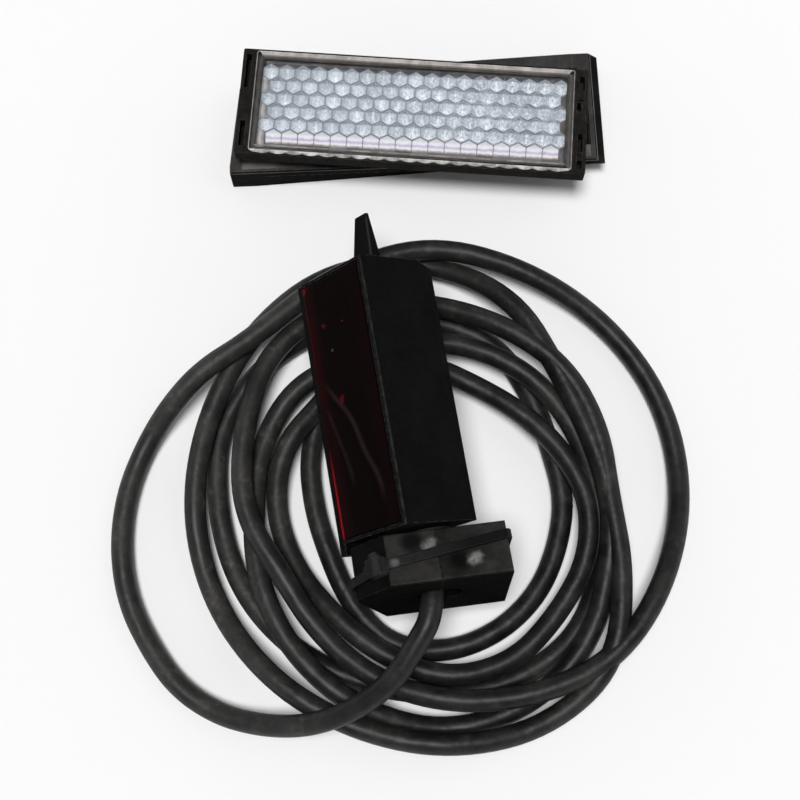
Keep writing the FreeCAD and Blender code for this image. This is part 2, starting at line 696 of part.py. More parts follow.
def make_reflector_base():
    """The moulded base: askew at one end, hollow behind, with a rimmed land, a sloped end and two screw bosses."""
    body = new_body("reflector_base")
    block(body, "Additive", "base_block", ("base_wide", "base_high", "base_tall"),
          ("-base_wide / 2", "-base_high / 2", "0"))
    through = ("0", "base_tall", "0", "base_tall")
    taper(body, "askew_end", 0, ("-1", "-base_start"), ("-1", "base_skew"), "base_high", through,
          ("-base_wide / 2", "-base_high / 2", "0"))
    taper(body, "askew_back", 90, ("base_start", "1"), ("-base_back_skew", "1"), "base_wide", through,
          ("base_wide / 2", "base_high / 2", "0"))
    taper(body, "front_undercut", -90, ("base_start", "1"), ("-base_undercut", "1"), "base_wide",
          ("0", "base_tall - base_edge", "0", "base_tall - base_edge"), ("-base_wide / 2", "-base_high / 2", "0"))
    taper(body, "sloped_end", -90, ("-base_high", "base_high"), ("-base_high", "base_high"), "end_slope",
          ("base_tall", "base_tall + 1", "base_tall - end_slope_deep", "base_tall + 1"),
          ("base_wide / 2 - end_slope", "0", "0"))
    top, front = value("base_tall"), -value("base_high") / 2
    soften(body, "Chamfer", "front_bevel", "base_bevel",
           lambda edge: runs_along(edge, X_AXIS) and middle(edge).z > top - 0.01 and middle(edge).y < front + 0.01)
    level = "base_tall - base_floor - base_land"
    left = "-base_wide / 2 + base_wall + base_skew"
    near = "-base_high / 2 + base_wall + base_undercut"
    inside_wide = "(base_wide - 2 * base_wall - base_skew)"
    inside_high = "(base_high - 2 * base_wall - base_undercut - base_back_skew)"
    block(body, "Subtractive", "base_hollow", (inside_wide, inside_high, level), (left, near, "0"))
    block(body, "Additive", "cross_rib", ("base_wall", f"{inside_high} + base_wall", level),
          ("-base_wall / 2", f"{near} - base_wall / 2", "0"))
    block(body, "Additive", "long_rib", (f"{inside_wide} + base_wall", "base_wall", level),
          (f"{left} - base_wall / 2", "-base_wall / 2", "0"))
    block(body, "Subtractive", "base_land_recess",
          ("base_wide - 2 * base_rim - base_skew / 2 - end_slope", "base_high - 2 * base_rim - base_back_skew",
           "base_land"),
          ("-base_wide / 2 + base_rim + base_skew / 2", "-base_high / 2 + base_rim", "base_tall - base_land"))
    block(body, "Subtractive", "end_groove", ("groove_wide", "groove_long", "groove_deep"),
          ("base_wide / 2 - end_slope - base_rim - groove_wide", "-groove_long / 2",
           "base_tall - base_land - groove_deep"))
    for end in ("-", ""):
        name = "left" if end else "right"
        rod(body, "Additive", name + "_boss", "screw_boss", "base_tall - base_land - base_floor",
            (end + "screw_x", "screw_y", "0"))
        rod(body, "Subtractive", name + "_screw_hole", "screw_radius", "base_tall", (end + "screw_x", "screw_y", "0"))
        sink = body.newObject("PartDesign::SubtractiveCone", name + "_sink")
        bind(sink, {"Radius1": "screw_radius", "Radius2": "screw_sink", "Height": "screw_sink - screw_radius"},
             (end + "screw_x", "screw_y", "base_tall - base_land - (screw_sink - screw_radius)"))


make_housing()
make_window()
make_window_seal()
make_side_cover()
make_grommet()
make_circuit_board()
make_optics_block()
make_lens("emitter")
make_lens("receiver")
make_round_component("emitter_led", "2.5", "7.0", "0", "emitter_y", "2.3")
make_square_component("receiver_diode", ("5.2", "4.4", "2.4"), "0", "receiver_y", "0.4")
make_round_component("status_led", "1.5", "5.0", "0.4", "25.0", "1.4")
make_square_component("control_chip", ("6.0", "5.0", "1.8"), "6.0", "22.0", "0.3")
make_round_component("capacitor", "3.15", "9.0", "-6.4", "20.2", "0.6")
make_square_component("terminal_block", ("terminal_wide", "terminal_long", "terminal_tall"), "outlet_x",
                      "terminal_start + terminal_long / 2", "0.4")
make_conductors()
make_core_half("ferrite_half_left", True)
make_core_half("ferrite_half_right", False)
make_cable_tie()
make_cable_lead()
make_cable_coil()
make_reflector_prism()
make_reflector_holder()
make_reflector_base()
document.recompute()

failed = [item.Label for item in document.Objects if {"Invalid", "Error"} & set(item.State)]
failed += [part.Label for part in sub_parts if part.Shape.isNull() or not part.Shape.isValid()]
if failed:
    raise RuntimeError("not built: " + ", ".join(failed))

os.makedirs("parts", exist_ok=True)
for part in sub_parts:
    part.Shape.exportStep(os.path.join("parts", part.Label + ".step"))
    print(f"{part.Label}: {part.Shape.Volume:.1f} mm3, {len(part.Shape.Solids)} solid")
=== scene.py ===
"""The looks of a reflective photocell set: a sensor head on its coiled cable, and the prism reflector it looks at.

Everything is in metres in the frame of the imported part: the origin is the middle of the reflector base's mounting
side, +X runs along that base, +Y from the sensor towards the reflector, and +Z up from the floor. The sizes in the
classes are in millimetres.
"""
from __future__ import annotations

import logging
import math
from dataclasses import dataclass, replace
from enum import IntEnum
from functools import cache

import bmesh
import bpy
from mathutils import Matrix, Vector

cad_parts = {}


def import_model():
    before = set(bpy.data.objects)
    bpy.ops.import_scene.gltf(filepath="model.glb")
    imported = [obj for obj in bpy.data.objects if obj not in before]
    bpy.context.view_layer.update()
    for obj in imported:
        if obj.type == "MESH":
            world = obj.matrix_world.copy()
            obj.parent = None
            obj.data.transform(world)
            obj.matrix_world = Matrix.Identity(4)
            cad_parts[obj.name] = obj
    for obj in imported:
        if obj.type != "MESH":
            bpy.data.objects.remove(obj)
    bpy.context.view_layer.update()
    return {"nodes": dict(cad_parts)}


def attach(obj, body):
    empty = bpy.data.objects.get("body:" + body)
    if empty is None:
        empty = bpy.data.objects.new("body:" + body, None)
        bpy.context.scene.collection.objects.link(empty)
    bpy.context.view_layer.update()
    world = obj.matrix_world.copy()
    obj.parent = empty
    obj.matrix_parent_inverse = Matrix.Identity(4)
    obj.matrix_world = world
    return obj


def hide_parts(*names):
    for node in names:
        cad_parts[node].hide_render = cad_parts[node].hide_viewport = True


LOG = logging.getLogger("photocell")
MM = 0.001
ROOT = "root"

Colour = tuple[float, float, float]
Point = tuple[float, float, float]
Path = tuple[tuple[float, float], ...]
Socket = bpy.types.NodeSocket
Tree = bpy.types.NodeTree
Material = bpy.types.Material
Mesh = bpy.types.Mesh
Piece = bpy.types.Object
Work = bmesh.types.BMesh
Ring = list[bmesh.types.BMVert]

# where the photograph was taken from
EYE: Point = (-12.44, -185.37, 398.24)


class Rim(IntEnum):
    """The finishes of the clear plate, by their numbers in its mesh: clear, then the frosted ones in order, of which
    the end and far ones are copies painted darker as shade and, on the far side's top, lighter as a highlight.
    """

    CLEAR = 0
    EDGE = 1
    STEP = 2
    END_STEP = 3
    FAR_EDGE = 4
    FAR_STEP = 5
    END_EDGE = 6


def rgba(colour: Colour) -> tuple[float, float, float, float]:
    """The colour with full opacity."""
    return (*colour, 1.0)


def tinted(colour: Colour, share: float) -> Colour:
    """The colour made lighter or darker."""
    return tuple(channel * share for channel in colour)


class Wiring:
    """Places and joins the nodes of one tree."""

    def __init__(self, tree: Tree) -> None:
        """Start on a tree."""
        self.tree = tree

    def add(self, kind: str, inputs: dict[str | int, object] | None = None, **settings: object) -> bpy.types.Node:
        """Add a node.

        Args:
            kind: the node's type name.
            inputs: what goes into its inputs, by their names or numbers.
            settings: the node's own properties.

        Returns:
            The new node.
        """
        node = self.tree.nodes.new(kind)
        for name, setting in settings.items():
            setattr(node, name, setting)
        for name, source in (inputs or {}).items():
            self.feed(node.inputs[name], source)
        return node

    def feed(self, socket: Socket, source: object) -> None:
        """Link a socket to another node's output, or set it to a plain value.

        Args:
            socket: the input to feed.
            source: an output socket, a number, a colour or a vector.
        """
        if isinstance(source, Socket):
            self.tree.links.new(source, socket)
        else:
            socket.default_value = rgba(source) if socket.type == "RGBA" else source

    def place(self, turn: Point = (0.0, 0.0, 0.0), stretch: Point = (1.0, 1.0, 1.0)) -> Socket:
        """Object coordinates, turned by radians and stretched for a pattern."""
        given = self.add("ShaderNodeTexCoord").outputs["Object"]
        return self.add("ShaderNodeMapping", {"Vector": given, "Rotation": turn, "Scale": stretch}).outputs["Vector"]

    def local(self, lay: Matrix) -> tuple[Socket, ...]:
        """Coordinates on a piece that lies askew, in millimetres from its own corner.

        Args:
            lay: where the piece lies.

        Returns:
            The vector, and its three parts.
        """
        inputs = {"Vector": self.add("ShaderNodeTexCoord").outputs["Object"], "Location": lay.to_translation(),
                  "Rotation": lay.to_euler(), "Scale": (MM, MM, MM)}
        vector = self.add("ShaderNodeMapping", inputs, vector_type="TEXTURE").outputs["Vector"]
        return (vector, *self.add("ShaderNodeSeparateXYZ", {"Vector": vector}).outputs)

    def stored(self, name: str) -> Socket:
        """A value that the mesh carries."""
        return self.add("ShaderNodeAttribute", attribute_name=name).outputs["Fac"]

    def noise(self, where: Socket, scale: object, detail: float = 3.0, rough: float = 0.55) -> Socket:
        """A soft noise between 0 and 1: how fine it is, its octaves, and how strong the fine ones are."""
        inputs = {"Vector": where, "Scale": scale, "Detail": detail, "Roughness": rough}
        return self.add("ShaderNodeTexNoise", inputs).outputs["Fac"]

    def span(self, value: object, low: float, high: float, to_low: float = 0.0, to_high: float = 1.0) -> Socket:
        """A value that is to_low at low and to_high at high, runs softly between them and stays there outside."""
        inputs = {"Value": value, "From Min": low, "From Max": high, "To Min": to_low, "To Max": to_high}
        return self.add("ShaderNodeMapRange", inputs, interpolation_type="SMOOTHSTEP").outputs["Result"]

    def sum(self, operation: str, first: object, second: object = 0.0) -> Socket:
        """One of the Math node's operations on two values."""
        return self.add("ShaderNodeMath", {0: first, 1: second}, operation=operation).outputs[0]

    def times(self, first: object, second: object) -> Socket:
        """The product of two values."""
        return self.sum("MULTIPLY", first, second)

    def plus(self, first: object, second: object) -> Socket:
        """Two values together."""
        return self.sum("ADD", first, second)

    def less(self, first: object, second: object) -> Socket:
        """The first value less the second."""
        return self.sum("SUBTRACT", first, second)

    def most(self, first: object, second: object) -> Socket:
        """The greater of two values."""
        return self.sum("MAXIMUM", first, second)

    def apart(self, first: object, second: object) -> Socket:
        """How far two values are apart."""
        return self.sum("ABSOLUTE", self.less(first, second))

    def colours(self, factor: object, first: object, second: object) -> Socket:
        """Two colours mixed: the factor says how much of the second there is."""
        return self.add("ShaderNodeMix", {0: factor, 6: first, 7: second}, data_type="RGBA").outputs[2]

    def layers(self, colour: object, *coats: tuple[object, float, Colour]) -> Socket:
        """A colour with thin coats over it.

        Args:
            colour: the colour underneath.
            coats: each coat's mask, how thick it is, and its colour.

        Returns:
            The colour on top.
        """
        for mask, thick, coat in coats:
            colour = self.colours(self.times(mask, thick), colour, coat)
        return colour

    def spot(self, where: Socket, centre: Point, reach: float) -> Socket:
        """A soft round spot: 1 in the middle quarter, fading away to its reach."""
        away = self.add("ShaderNodeVectorMath", {0: where, 1: centre}, operation="DISTANCE").outputs["Value"]
        return self.span(away, reach, reach * 0.25)

    def astray(self, where: Socket, scale: float, reach: float) -> Socket:
        """Coordinates pushed about by a noise, for shapes with uneven outlines.

        Args:
            where: the vector to push about.
            scale: how fine the noise is.
            reach: how far it pushes.

        Returns:
            The vector.
        """
        push = self.add("ShaderNodeTexNoise", {"Vector": where, "Scale": scale}).outputs["Color"]
        centred = {0: push, 1: (2 * reach,) * 3, 2: (-reach,) * 3}
        push = self.add("ShaderNodeVectorMath", centred, operation="MULTIPLY_ADD").outputs["Vector"]
        return self.add("ShaderNodeVectorMath", {0: where, 1: push}, operation="ADD").outputs["Vector"]

    def trace(self, along: Socket, across: Socket, points: Path, width: float) -> Socket:
        """A soft line through points of a surface, fading over a fifth of its length at each end.

        Args:
            along: the coordinate that the line runs along.
            across: the coordinate that it bends over.
            points: the line's points, as along and across, in order.
            width: how far from its middle it fades away.

        Returns:
            1 on the line, 0 beside it.
        """
        start, end = points[0][0], points[-1][0]
        low, high = min(point[1] for point in points), max(point[1] for point in points)
        bend = self.add("ShaderNodeFloatCurve", {"Value": self.sum("DIVIDE", self.less(along, start), end - start)})
        line = bend.mapping.curves[0]
        steps = [((place - start) / (end - start), (side - low) / (high - low)) for place, side in points]
        line.points[0].location, line.points[1].location = steps[0], steps[-1]
        for step in steps[1:-1]:
            line.points.new(*step)
        bend.mapping.update()
        middle = self.plus(self.times(bend.outputs["Value"], high - low), low)
        fade = (end - start) * 0.2
        ends = self.times(self.span(along, start, start + fade), self.span(along, end, end - fade))
        return self.times(self.span(self.apart(across, middle), width, 0.0), ends)

    def ramp(self, value: Socket, stops: tuple[tuple[float, Colour], ...]) -> Socket:
        """A colour read from a row of stops.

        Args:
            value: where to read it, from 0 to 1.
            stops: places with their colours, in order.

        Returns:
            The colour.
        """
        node = self.add("ShaderNodeValToRGB", {"Fac": value})
        row = node.color_ramp.elements
        while len(row) < len(stops):
            row.new(0.5)
        for element, (place, colour) in zip(row, stops):
            element.position = place
            element.color = rgba(colour)
        return node.outputs["Color"]

    def group(self, effect: Tree, **inputs: object) -> bpy.types.NodeOutputs:
        """The outputs of a shared effect, with its inputs fed by name."""
        return self.add("ShaderNodeGroup", inputs, node_tree=effect).outputs

    def bump(self, height: Socket, strength: float, depth: float, normal: Socket | None = None) -> Socket:
        """The normal of a relief, so strong and so many metres deep, on another normal if there is one."""
        inputs = {"Strength": strength, "Distance": depth, "Height": height}
        return self.add("ShaderNodeBump", inputs | ({"Normal": normal} if normal else {})).outputs["Normal"]


class Effects:
    """The surface effects that several finishes share, each made once as a shader group."""

    @staticmethod
    def start(name: str, usual: dict[str, float],
              *outputs: str) -> tuple[Wiring, bpy.types.NodeOutputs, bpy.types.NodeInputs]:
        """Make an empty group with its sockets.

        Args:
            name: the group's name.
            usual: input names with their usual values.
            outputs: output names.

        Returns:
            The wiring, what is given to the group, and what it gives.
        """
        tree = bpy.data.node_groups.new(name, "ShaderNodeTree")
        for label, number in usual.items():
            socket = tree.interface.new_socket(name=label, in_out="INPUT", socket_type="NodeSocketFloat")
            socket.default_value = number
        for label in outputs:
            kind = "NodeSocketVector" if label == "Normal" else "NodeSocketFloat"
            tree.interface.new_socket(name=label, in_out="OUTPUT", socket_type=kind)
        w = Wiring(tree)
        return w, w.add("NodeGroupInput").outputs, w.add("NodeGroupOutput").inputs

    @staticmethod
    @cache
    def grain() -> Tree:
        """The fine grain of a spark-eroded mould.

        Returns:
            The group, which gives a height and a tone.
        """
        w, given, out = Effects.start("moulded_grain", {"Scale": 4000.0}, "Height", "Tone")
        where = w.place()
        pits = w.noise(where, given["Scale"], 2.0, 0.6)
        coarse = w.noise(where, w.times(given["Scale"], 0.12), 3.0, 0.5)
        w.feed(out["Height"], w.plus(w.times(pits, 0.75), w.times(coarse, 0.25)))
        w.feed(out["Tone"], w.span(w.plus(w.times(pits, 0.5), w.times(coarse, 0.5)), 0.36, 0.66))
        return w.tree

    @staticmethod
    @cache
    def edge_wear() -> Tree:
        """Edges that are rubbed and aren't knife-sharp.

        Returns:
            The group, which gives the rubbed places' mask and the softened normal.
        """
        w, given, out = Effects.start("edge_wear", {"Radius": 0.0004, "Breakup": 900.0}, "Mask", "Normal")
        soft = w.add("ShaderNodeBevel", {"Radius": given["Radius"]}, samples=4).outputs["Normal"]
        flat = w.add("ShaderNodeNewGeometry").outputs["Normal"]
        meet = w.add("ShaderNodeVectorMath", {0: soft, 1: flat}, operation="DOT_PRODUCT").outputs["Value"]
        patches = w.span(w.noise(w.place(), given["Breakup"], 4.0, 0.65), 0.40, 0.62)
        w.feed(out["Mask"], w.times(w.span(meet, 0.995, 0.80), patches))
        w.feed(out["Normal"], soft)
        return w.tree

    @staticmethod
    @cache
    def dust() -> Tree:
        """A thin film of dust in cloudy patches, with a few lighter specks in it.

        Returns:
            The group, which gives the film's mask and the specks' mask.
        """
        w, given, out = Effects.start("dust_film", {"Scale": 90.0, "Specks": 1600.0}, "Film", "Specks")
        where = w.place()
        w.feed(out["Film"], w.span(w.noise(where, given["Scale"], 5.0, 0.6), 0.42, 0.72))
        motes = w.add("ShaderNodeTexVoronoi", {"Vector": where, "Scale": given["Specks"]}).outputs["Distance"]
        few = w.span(w.noise(where, w.times(given["Specks"], 0.35), 1.0, 0.5), 0.60, 0.66)
        w.feed(out["Specks"], w.times(w.span(motes, 0.17, 0.06), few))
        return w.tree

    @staticmethod
    @cache
    def scratches() -> Tree:
        """Fine rubbed lines in two directions, broken up into short strokes.

        Returns:
            The group, which gives the lines' mask.
        """
        w, given, out = Effects.start("rubbed_lines", {"Scale": 900.0}, "Mask")
        along, across = w.place((0.2, 0.9, 0.6), (1.0, 0.05, 1.0)), w.place((0.4, -0.5, 2.1), (1.0, 0.04, 1.0))
        first = w.span(w.noise(along, given["Scale"], 2.0, 0.5), 0.66, 0.73)
        second = w.span(w.noise(across, given["Scale"], 2.0, 0.5), 0.68, 0.75)
        where = w.span(w.noise(w.place(), w.times(given["Scale"], 0.08), 2.0, 0.5), 0.45, 0.65)
        w.feed(out["Mask"], w.times(w.most(first, second), where))
        return w.tree


class Surface(Wiring):
    """The wiring of a new material, with its Principled shader."""

    def __init__(self, name: str) -> None:
        """Make the material.

        Args:
            name: the material's name.
        """
        self.material = bpy.data.materials.new(name)
        self.material.use_nodes = True
        super().__init__(self.material.node_tree)
        self.shader = self.tree.nodes["Principled BSDF"]

    def finish(self, **sockets: object) -> Material:
        """Feed the shader.

        Args:
            sockets: what goes into each of its sockets, named with underscores for spaces.

        Returns:
            The material.
        """
        for name, source in sockets.items():
            self.feed(self.shader.inputs[name.replace("_", " ")], source)
        return self.material


@dataclass(frozen=True)
class MouldedPlastic:
    """A moulded plastic: grained or polished, rubbed at its edges, with a little dust on it."""

    name: str
    colour: Colour
    worn: Colour = (0.16, 0.155, 0.15)
    dust: Colour = (0.20, 0.19, 0.18)
    # the rubbed crest's colour, also used for the painted highlight on the lug
    rubbed: Colour = (0.026, 0.026, 0.025)
    roughness: float = 0.5
    grain: float = 4200.0
    relief: float = 0.00002
    edge: float = 0.0004
    wear: float = 0.5
    dusty: float = 0.10
    specular: float = 0.3
    tone: float = 0.35
    land: float = 0.0
    pale_land_colour: Colour = (0.155, 0.147, 0.141)
    scratched: float = 0.35
    crest: Point = (0.0, 0.0, 0.0)
    # a painted highlight along the lug's long edge: how far along with how far across, and how far along with how deep
    lug_highlight_line: tuple[Path, ...] = ()
    lay: Matrix | None = None

    def material(self) -> Material:
        """Build the finish's nodes.

        Returns:
            The material.
        """
        w = Surface(self.name)
        grain = w.group(Effects.grain(), Scale=self.grain)
        rub = w.group(Effects.edge_wear(), Radius=self.edge)
        film = w.group(Effects.dust())
        lines = w.group(Effects.scratches())
        colour = w.colours(grain["Tone"], tinted(self.colour, 1.0 - self.tone), tinted(self.colour, 1.0 + self.tone))
        colour = w.layers(colour, (lines["Mask"], self.wear * self.scratched, self.worn),
                          (film["Film"], self.dusty, self.dust), (film["Specks"], min(1.0, self.dusty * 4), self.dust))
        edges = w.times(rub["Mask"], self.wear)
        if self.lay:
            # the rubbed crest line and the painted highlight on the lug
            crest, edges = self.crest_wear_and_lug_highlight(w, edges)
            colour = w.colours(crest, colour, self.rubbed)
        colour = w.colours(edges, colour, self.worn)
        if self.land:
            # paler on the flat at the land's height
            colour = w.colours(self.paler_land(w), colour, self.pale_land_colour)
        rough = w.plus(w.times(film["Film"], 0.14), self.roughness - 0.07)
        rough = w.less(rough, w.times(rub["Mask"], 0.12))
        return w.finish(Base_Color=colour, Roughness=rough, Specular_IOR_Level=self.specular,
                        Normal=w.bump(grain["Height"], 0.6, self.relief, rub["Normal"]))

    def paler_land(self, w: Wiring) -> Socket:
        """Where the flat at the land's height is paler, and thinly the brim above it.

        Args:
            w: the wiring of the finish.

        Returns:
            The mask of the paler places.
        """
        where, _, _, height = w.local(Matrix())
        level = w.span(w.apart(height, self.land), 0.2, 0.1)
        brim = w.span(height, self.land + 0.50, self.land + 0.58, 0.0, 0.36)
        uneven = w.span(w.noise(where, 0.09, 5.0, 0.65), 0.30, 0.70, 0.45, 1.0)
        return w.times(w.most(level, brim), uneven)

    def crest_wear_and_lug_highlight(self, w: Wiring, edges: Socket) -> tuple[Socket, Socket]:
        """Where the long edge beside the window is rubbed, with a few chips, and a painted highlight along the lug's
        long edge.

        Args:
            w: the wiring of the finish.
            edges: the mask of all rubbed edges.

        Returns:
            The mask of the rubbed line with the painted highlight on the lug, and the mask of the other edges.
        """
        where, across, along, depth = w.local(self.lay)
        middle, half, level = self.crest
        front = w.span(depth, level - 0.2, level)
        uneven = w.span(w.noise(where, 0.5, 4.0, 0.7), 0.36, 0.66, 0.25, 1.0)
        line = w.times(w.times(w.span(w.apart(across, middle), half, half * 0.3), front), uneven)
        # painted highlight along the lug's long edge, in the rubbed colour
        beside, inward = self.lug_highlight_line
        lug = w.times(w.trace(along, across, beside, 0.6), w.trace(along, depth, inward, 0.6))
        other = w.less(1.0, w.times(front, w.span(across, middle - 0.2, middle + 0.2)))
        return w.most(line, lug), w.times(edges, other)


@dataclass(frozen=True)
class CableJacket:
    """The cable's soft satin jacket, greyed in patches by handling and dust, with painted light that makes it lighter,
    and its patches stronger, where the turns lie to the left.
    """

    name: str = "cable_jacket"
    dim_side: Colour = (0.0022, 0.0021, 0.0021)
    colour: Colour = (0.0120, 0.0117, 0.0113)
    greyed: Colour = (0.026, 0.0251, 0.0240)
    scuffed: Colour = (0.105, 0.099, 0.090)
    dust: Colour = (0.20, 0.19, 0.18)
    roughness: float = 0.43
    specular: float = 0.26
    # painted light across the coil: where the jacket starts to get lighter and where it is lightest
    painted_light_side: tuple[float, float] = (-20.0, -52.0)

    def material(self) -> Material:
        """Build the finish's nodes.

        Returns:
            The material.
        """
        w = Surface(self.name)
        where = w.place()
        # painted light: lighter towards the left of the coil
        painted_light_side = w.span(w.local(Matrix())[1], *self.painted_light_side)
        rubbed = w.span(w.noise(where, 55.0, 5.0, 0.62), 0.38, 0.70)
        rubbed = w.times(rubbed, w.span(painted_light_side, 0.0, 1.0, 0.40, 1.0))
        grain = w.group(Effects.grain(), Scale=2600.0)
        film = w.group(Effects.dust(), Scale=140.0, Specks=1300.0)
        colour = w.colours(rubbed, w.colours(painted_light_side, self.dim_side, self.colour), self.greyed)
        scuffs = w.span(w.noise(where, 340.0, 7.0, 0.74), 0.50, 0.68)
        scuffs = w.times(scuffs, w.span(rubbed, 0.0, 1.0, 0.08, 0.50))
        colour = w.layers(colour, (grain["Tone"], 0.20, self.greyed), (scuffs, 1.0, self.scuffed),
                          (film["Film"], 0.06, self.dust), (film["Specks"], 0.35, self.dust))
        rough = w.plus(w.times(rubbed, 0.16), self.roughness)
        dents = w.bump(w.noise(where, 160.0, 2.0, 0.5), 0.35, 0.0012)
        return w.finish(Base_Color=colour, Roughness=rough, Specular_IOR_Level=self.specular,
                        Normal=w.bump(grain["Height"], 0.5, 0.00004, dents))


@dataclass(frozen=True)
class RedFilter:
    """The dark red filter sheet: nearly black, with painted red light towards its long edges and most along its left
    one, painted pale reflection streaks, and a few red specks that are painted sparks of light.
    """

    lay: Matrix
    name: str = "window_red"
    deep: Colour = (0.0016, 0.0003, 0.0003)
    haze: Colour = (0.0130, 0.0004, 0.0010)
    painted_red_light: Colour = (0.40, 0.006, 0.008)
    reflected_streak: Colour = (0.022, 0.0125, 0.0120)
    painted_red_spark: Colour = (0.066, 0.0025, 0.0025)
    fleck: Colour = (0.050, 0.045, 0.044)
    roughness: float = 0.08
    specular: float = 0.015
    level: float = 25.0
    # each painted reflection streak: its points as how far up the window and how far across it, then how wide and how
    # clear it is
    reflection_arcs: tuple[tuple[Path, float, float], ...] = (
        (((6.1, 6.2), (12.7, 5.6), (21.5, 1.8), (30.3, -1.2), (37.0, -5.8), (44.1, -11.3)), 1.5, 0.62),
        (((12.4, -4.3), (18.5, -5.2), (26.0, -7.4), (37.1, -11.0)), 1.2, 0.38),
    )
    # each painted red spark of light: how far across, how far up, and how far it reaches
    specks: tuple[Point, ...] = ((-6.3, 57.7, 1.1), (1.4, 56.4, 0.7), (-3.8, 36.9, 1.3), (-3.7, 35.9, 1.1),
                                 (1.2, 22.8, 0.6))

    def material(self) -> Material:
        """Build the finish's nodes.

        Returns:
            The material.
        """
        w = Surface(self.name)
        where, across, along, _ = w.local(self.lay)
        rub = w.group(Effects.edge_wear(), Radius=0.0006, Breakup=260.0)
        film = w.group(Effects.dust(), Scale=60.0, Specks=900.0)
        clouds = w.span(w.noise(w.place((0.0, 0.0, 0.12), (1.0, 0.3, 1.0)), 90.0, 4.0, 0.55), 0.35, 0.70, 0.4, 1.0)
        # painted red light: a reddish haze towards both long edges
        left = w.times(w.span(across, -6.5, -12.2), clouds)
        right = w.times(w.span(across, 2.0, 10.6), w.times(clouds, 0.20))
        colour = w.colours(w.most(left, right), self.deep, self.haze)
        # painted reflection: pale streaks along the listed lines
        for arc, wide, thick in self.reflection_arcs:
            colour = w.layers(colour, (w.trace(along, across, arc, wide), thick, self.reflected_streak))
        # painted red light along the left edge: at its lower end, a little at its upper end, and at its far corner
        upper = w.span(w.apart(along, 55.0), 11.0, 2.0, 0.02, 0.10)
        lit = w.most(w.span(along, 27.0, 15.0), upper)
        edge = w.times(w.span(across, -11.5, -12.5), w.times(lit, clouds))
        edge = w.most(edge, w.times(w.spot(where, (-12.3, 69.0, self.level), 1.5), 0.3))
        colour = w.colours(edge, colour, self.painted_red_light)
        stray = w.astray(where, 0.6, 0.9)
        # painted sparks of red light
        for x, y, reach in self.specks:
            red_spark = w.sum("POWER", w.spot(stray, (x, y, self.level), reach), 1.6)
            colour = w.colours(red_spark, colour, self.painted_red_spark)
        pale = w.spot(stray, (-4.5, 50.1, self.level), 0.6)
        colour = w.layers(colour, (pale, 1.0, self.fleck), (film["Specks"], 0.12, self.fleck))
        rough = w.plus(w.times(film["Film"], 0.10), self.roughness)
        return w.finish(Base_Color=colour, Roughness=rough, Specular_IOR_Level=self.specular, IOR=1.49,
                        Normal=rub["Normal"])


@dataclass(frozen=True)
class Ferrite:
    """Pressed and ground ferrite: dark grey and powdery, with a painted highlight beside a painted shade spot in each
    half, painted shade on its nose, lower end and in its bore, and a darker right half.
    """

    lay: Matrix
    name: str = "ferrite_grey"
    colour: Colour = (0.0150, 0.0146, 0.0140)
    pale: Colour = (0.0390, 0.0380, 0.0362)
    worn: Colour = (0.13, 0.127, 0.122)
    painted_highlight: Colour = (0.22, 0.218, 0.214)
    shade: Colour = (0.0022, 0.0021, 0.0020)
    # painted highlight spots and painted shade spots on the front: across, up, and how far they reach
    polished: tuple[Point, ...] = ((10.9, -4.6, 2.7), (12.0, -3.8, 2.3), (21.4, -9.7, 2.5), (22.7, -8.8, 2.6))
    painted_shade_spots: tuple[Point, ...] = ((6.9, -2.6, 4.6), (18.2, -9.2, 4.2))
    seam: float = 13.2
    tall: float = 14.0
    bore_deep: float = 11.0

    def material(self) -> Material:
        """Build the finish's nodes.

        Returns:
            The material.
        """
        w = Surface(self.name)
        where, across, up, deep = w.local(self.lay)
        grain = w.group(Effects.grain(), Scale=3000.0)
        rub = w.group(Effects.edge_wear(), Radius=0.0005, Breakup=700.0)
        film = w.group(Effects.dust(), Scale=150.0, Specks=1500.0)
        clouds = w.span(w.noise(w.place(), 150.0, 5.0, 0.65), 0.32, 0.68)
        mottle = w.plus(w.times(clouds, 0.55), w.times(grain["Tone"], 0.45))
        colour = w.colours(mottle, self.colour, self.pale)
        # painted shade on the nose, the lower end and in the bore, and the dark joint of the halves
        nose = w.times(w.span(across, 0.15, -0.15), 0.93)
        end = w.times(w.span(up, -self.tall + 0.35, -self.tall + 0.10), 0.93)
        off_seam = w.apart(across, self.seam)
        joint = w.times(w.span(off_seam, 0.30, 0.12), 0.85)
        bore = w.times(w.span(w.apart(deep, -self.bore_deep), 5.0, 4.5), w.span(off_seam, 8.0, 7.5))
        dark = w.most(w.most(nose, end), w.most(bore, joint))
        colour = w.colours(dark, colour, self.shade)
        # the right half darker, fading back towards its far edge
        darker_right_half = w.times(w.span(across, self.seam, self.seam + 0.3), w.span(across, 26.5, 21.0, 0.1, 0.45))
        colour = w.colours(darker_right_half, colour, self.shade)
        # painted shade: dark spots beside the highlights
        for x, y, reach in self.painted_shade_spots:
            colour = w.layers(colour, (w.spot(where, (x, y, 0.0), reach), 0.85, self.shade))
        rough = w.span(clouds, 0.0, 1.0, 0.56, 0.46)
        stray = w.astray(where, 0.6, 0.9)
        # painted highlights, which are also a little glossier
        for x, y, reach in self.polished:
            highlight_patch = w.sum("POWER", w.spot(stray, (x, y, 0.0), reach), 1.8)
            highlight_patch = w.times(highlight_patch, w.span(grain["Tone"], 0.0, 1.0, 0.35, 0.80))
            colour = w.colours(highlight_patch, colour, self.painted_highlight)
            rough = w.less(rough, w.times(highlight_patch, 0.16))
        colour = w.layers(colour, (film["Specks"], 0.5, self.worn), (rub["Mask"], 0.3, self.worn))
        return w.finish(Base_Color=colour, Roughness=rough, Specular_IOR_Level=0.02,
                        Normal=w.bump(grain["Height"], 0.7, 0.00006, rub["Normal"]))


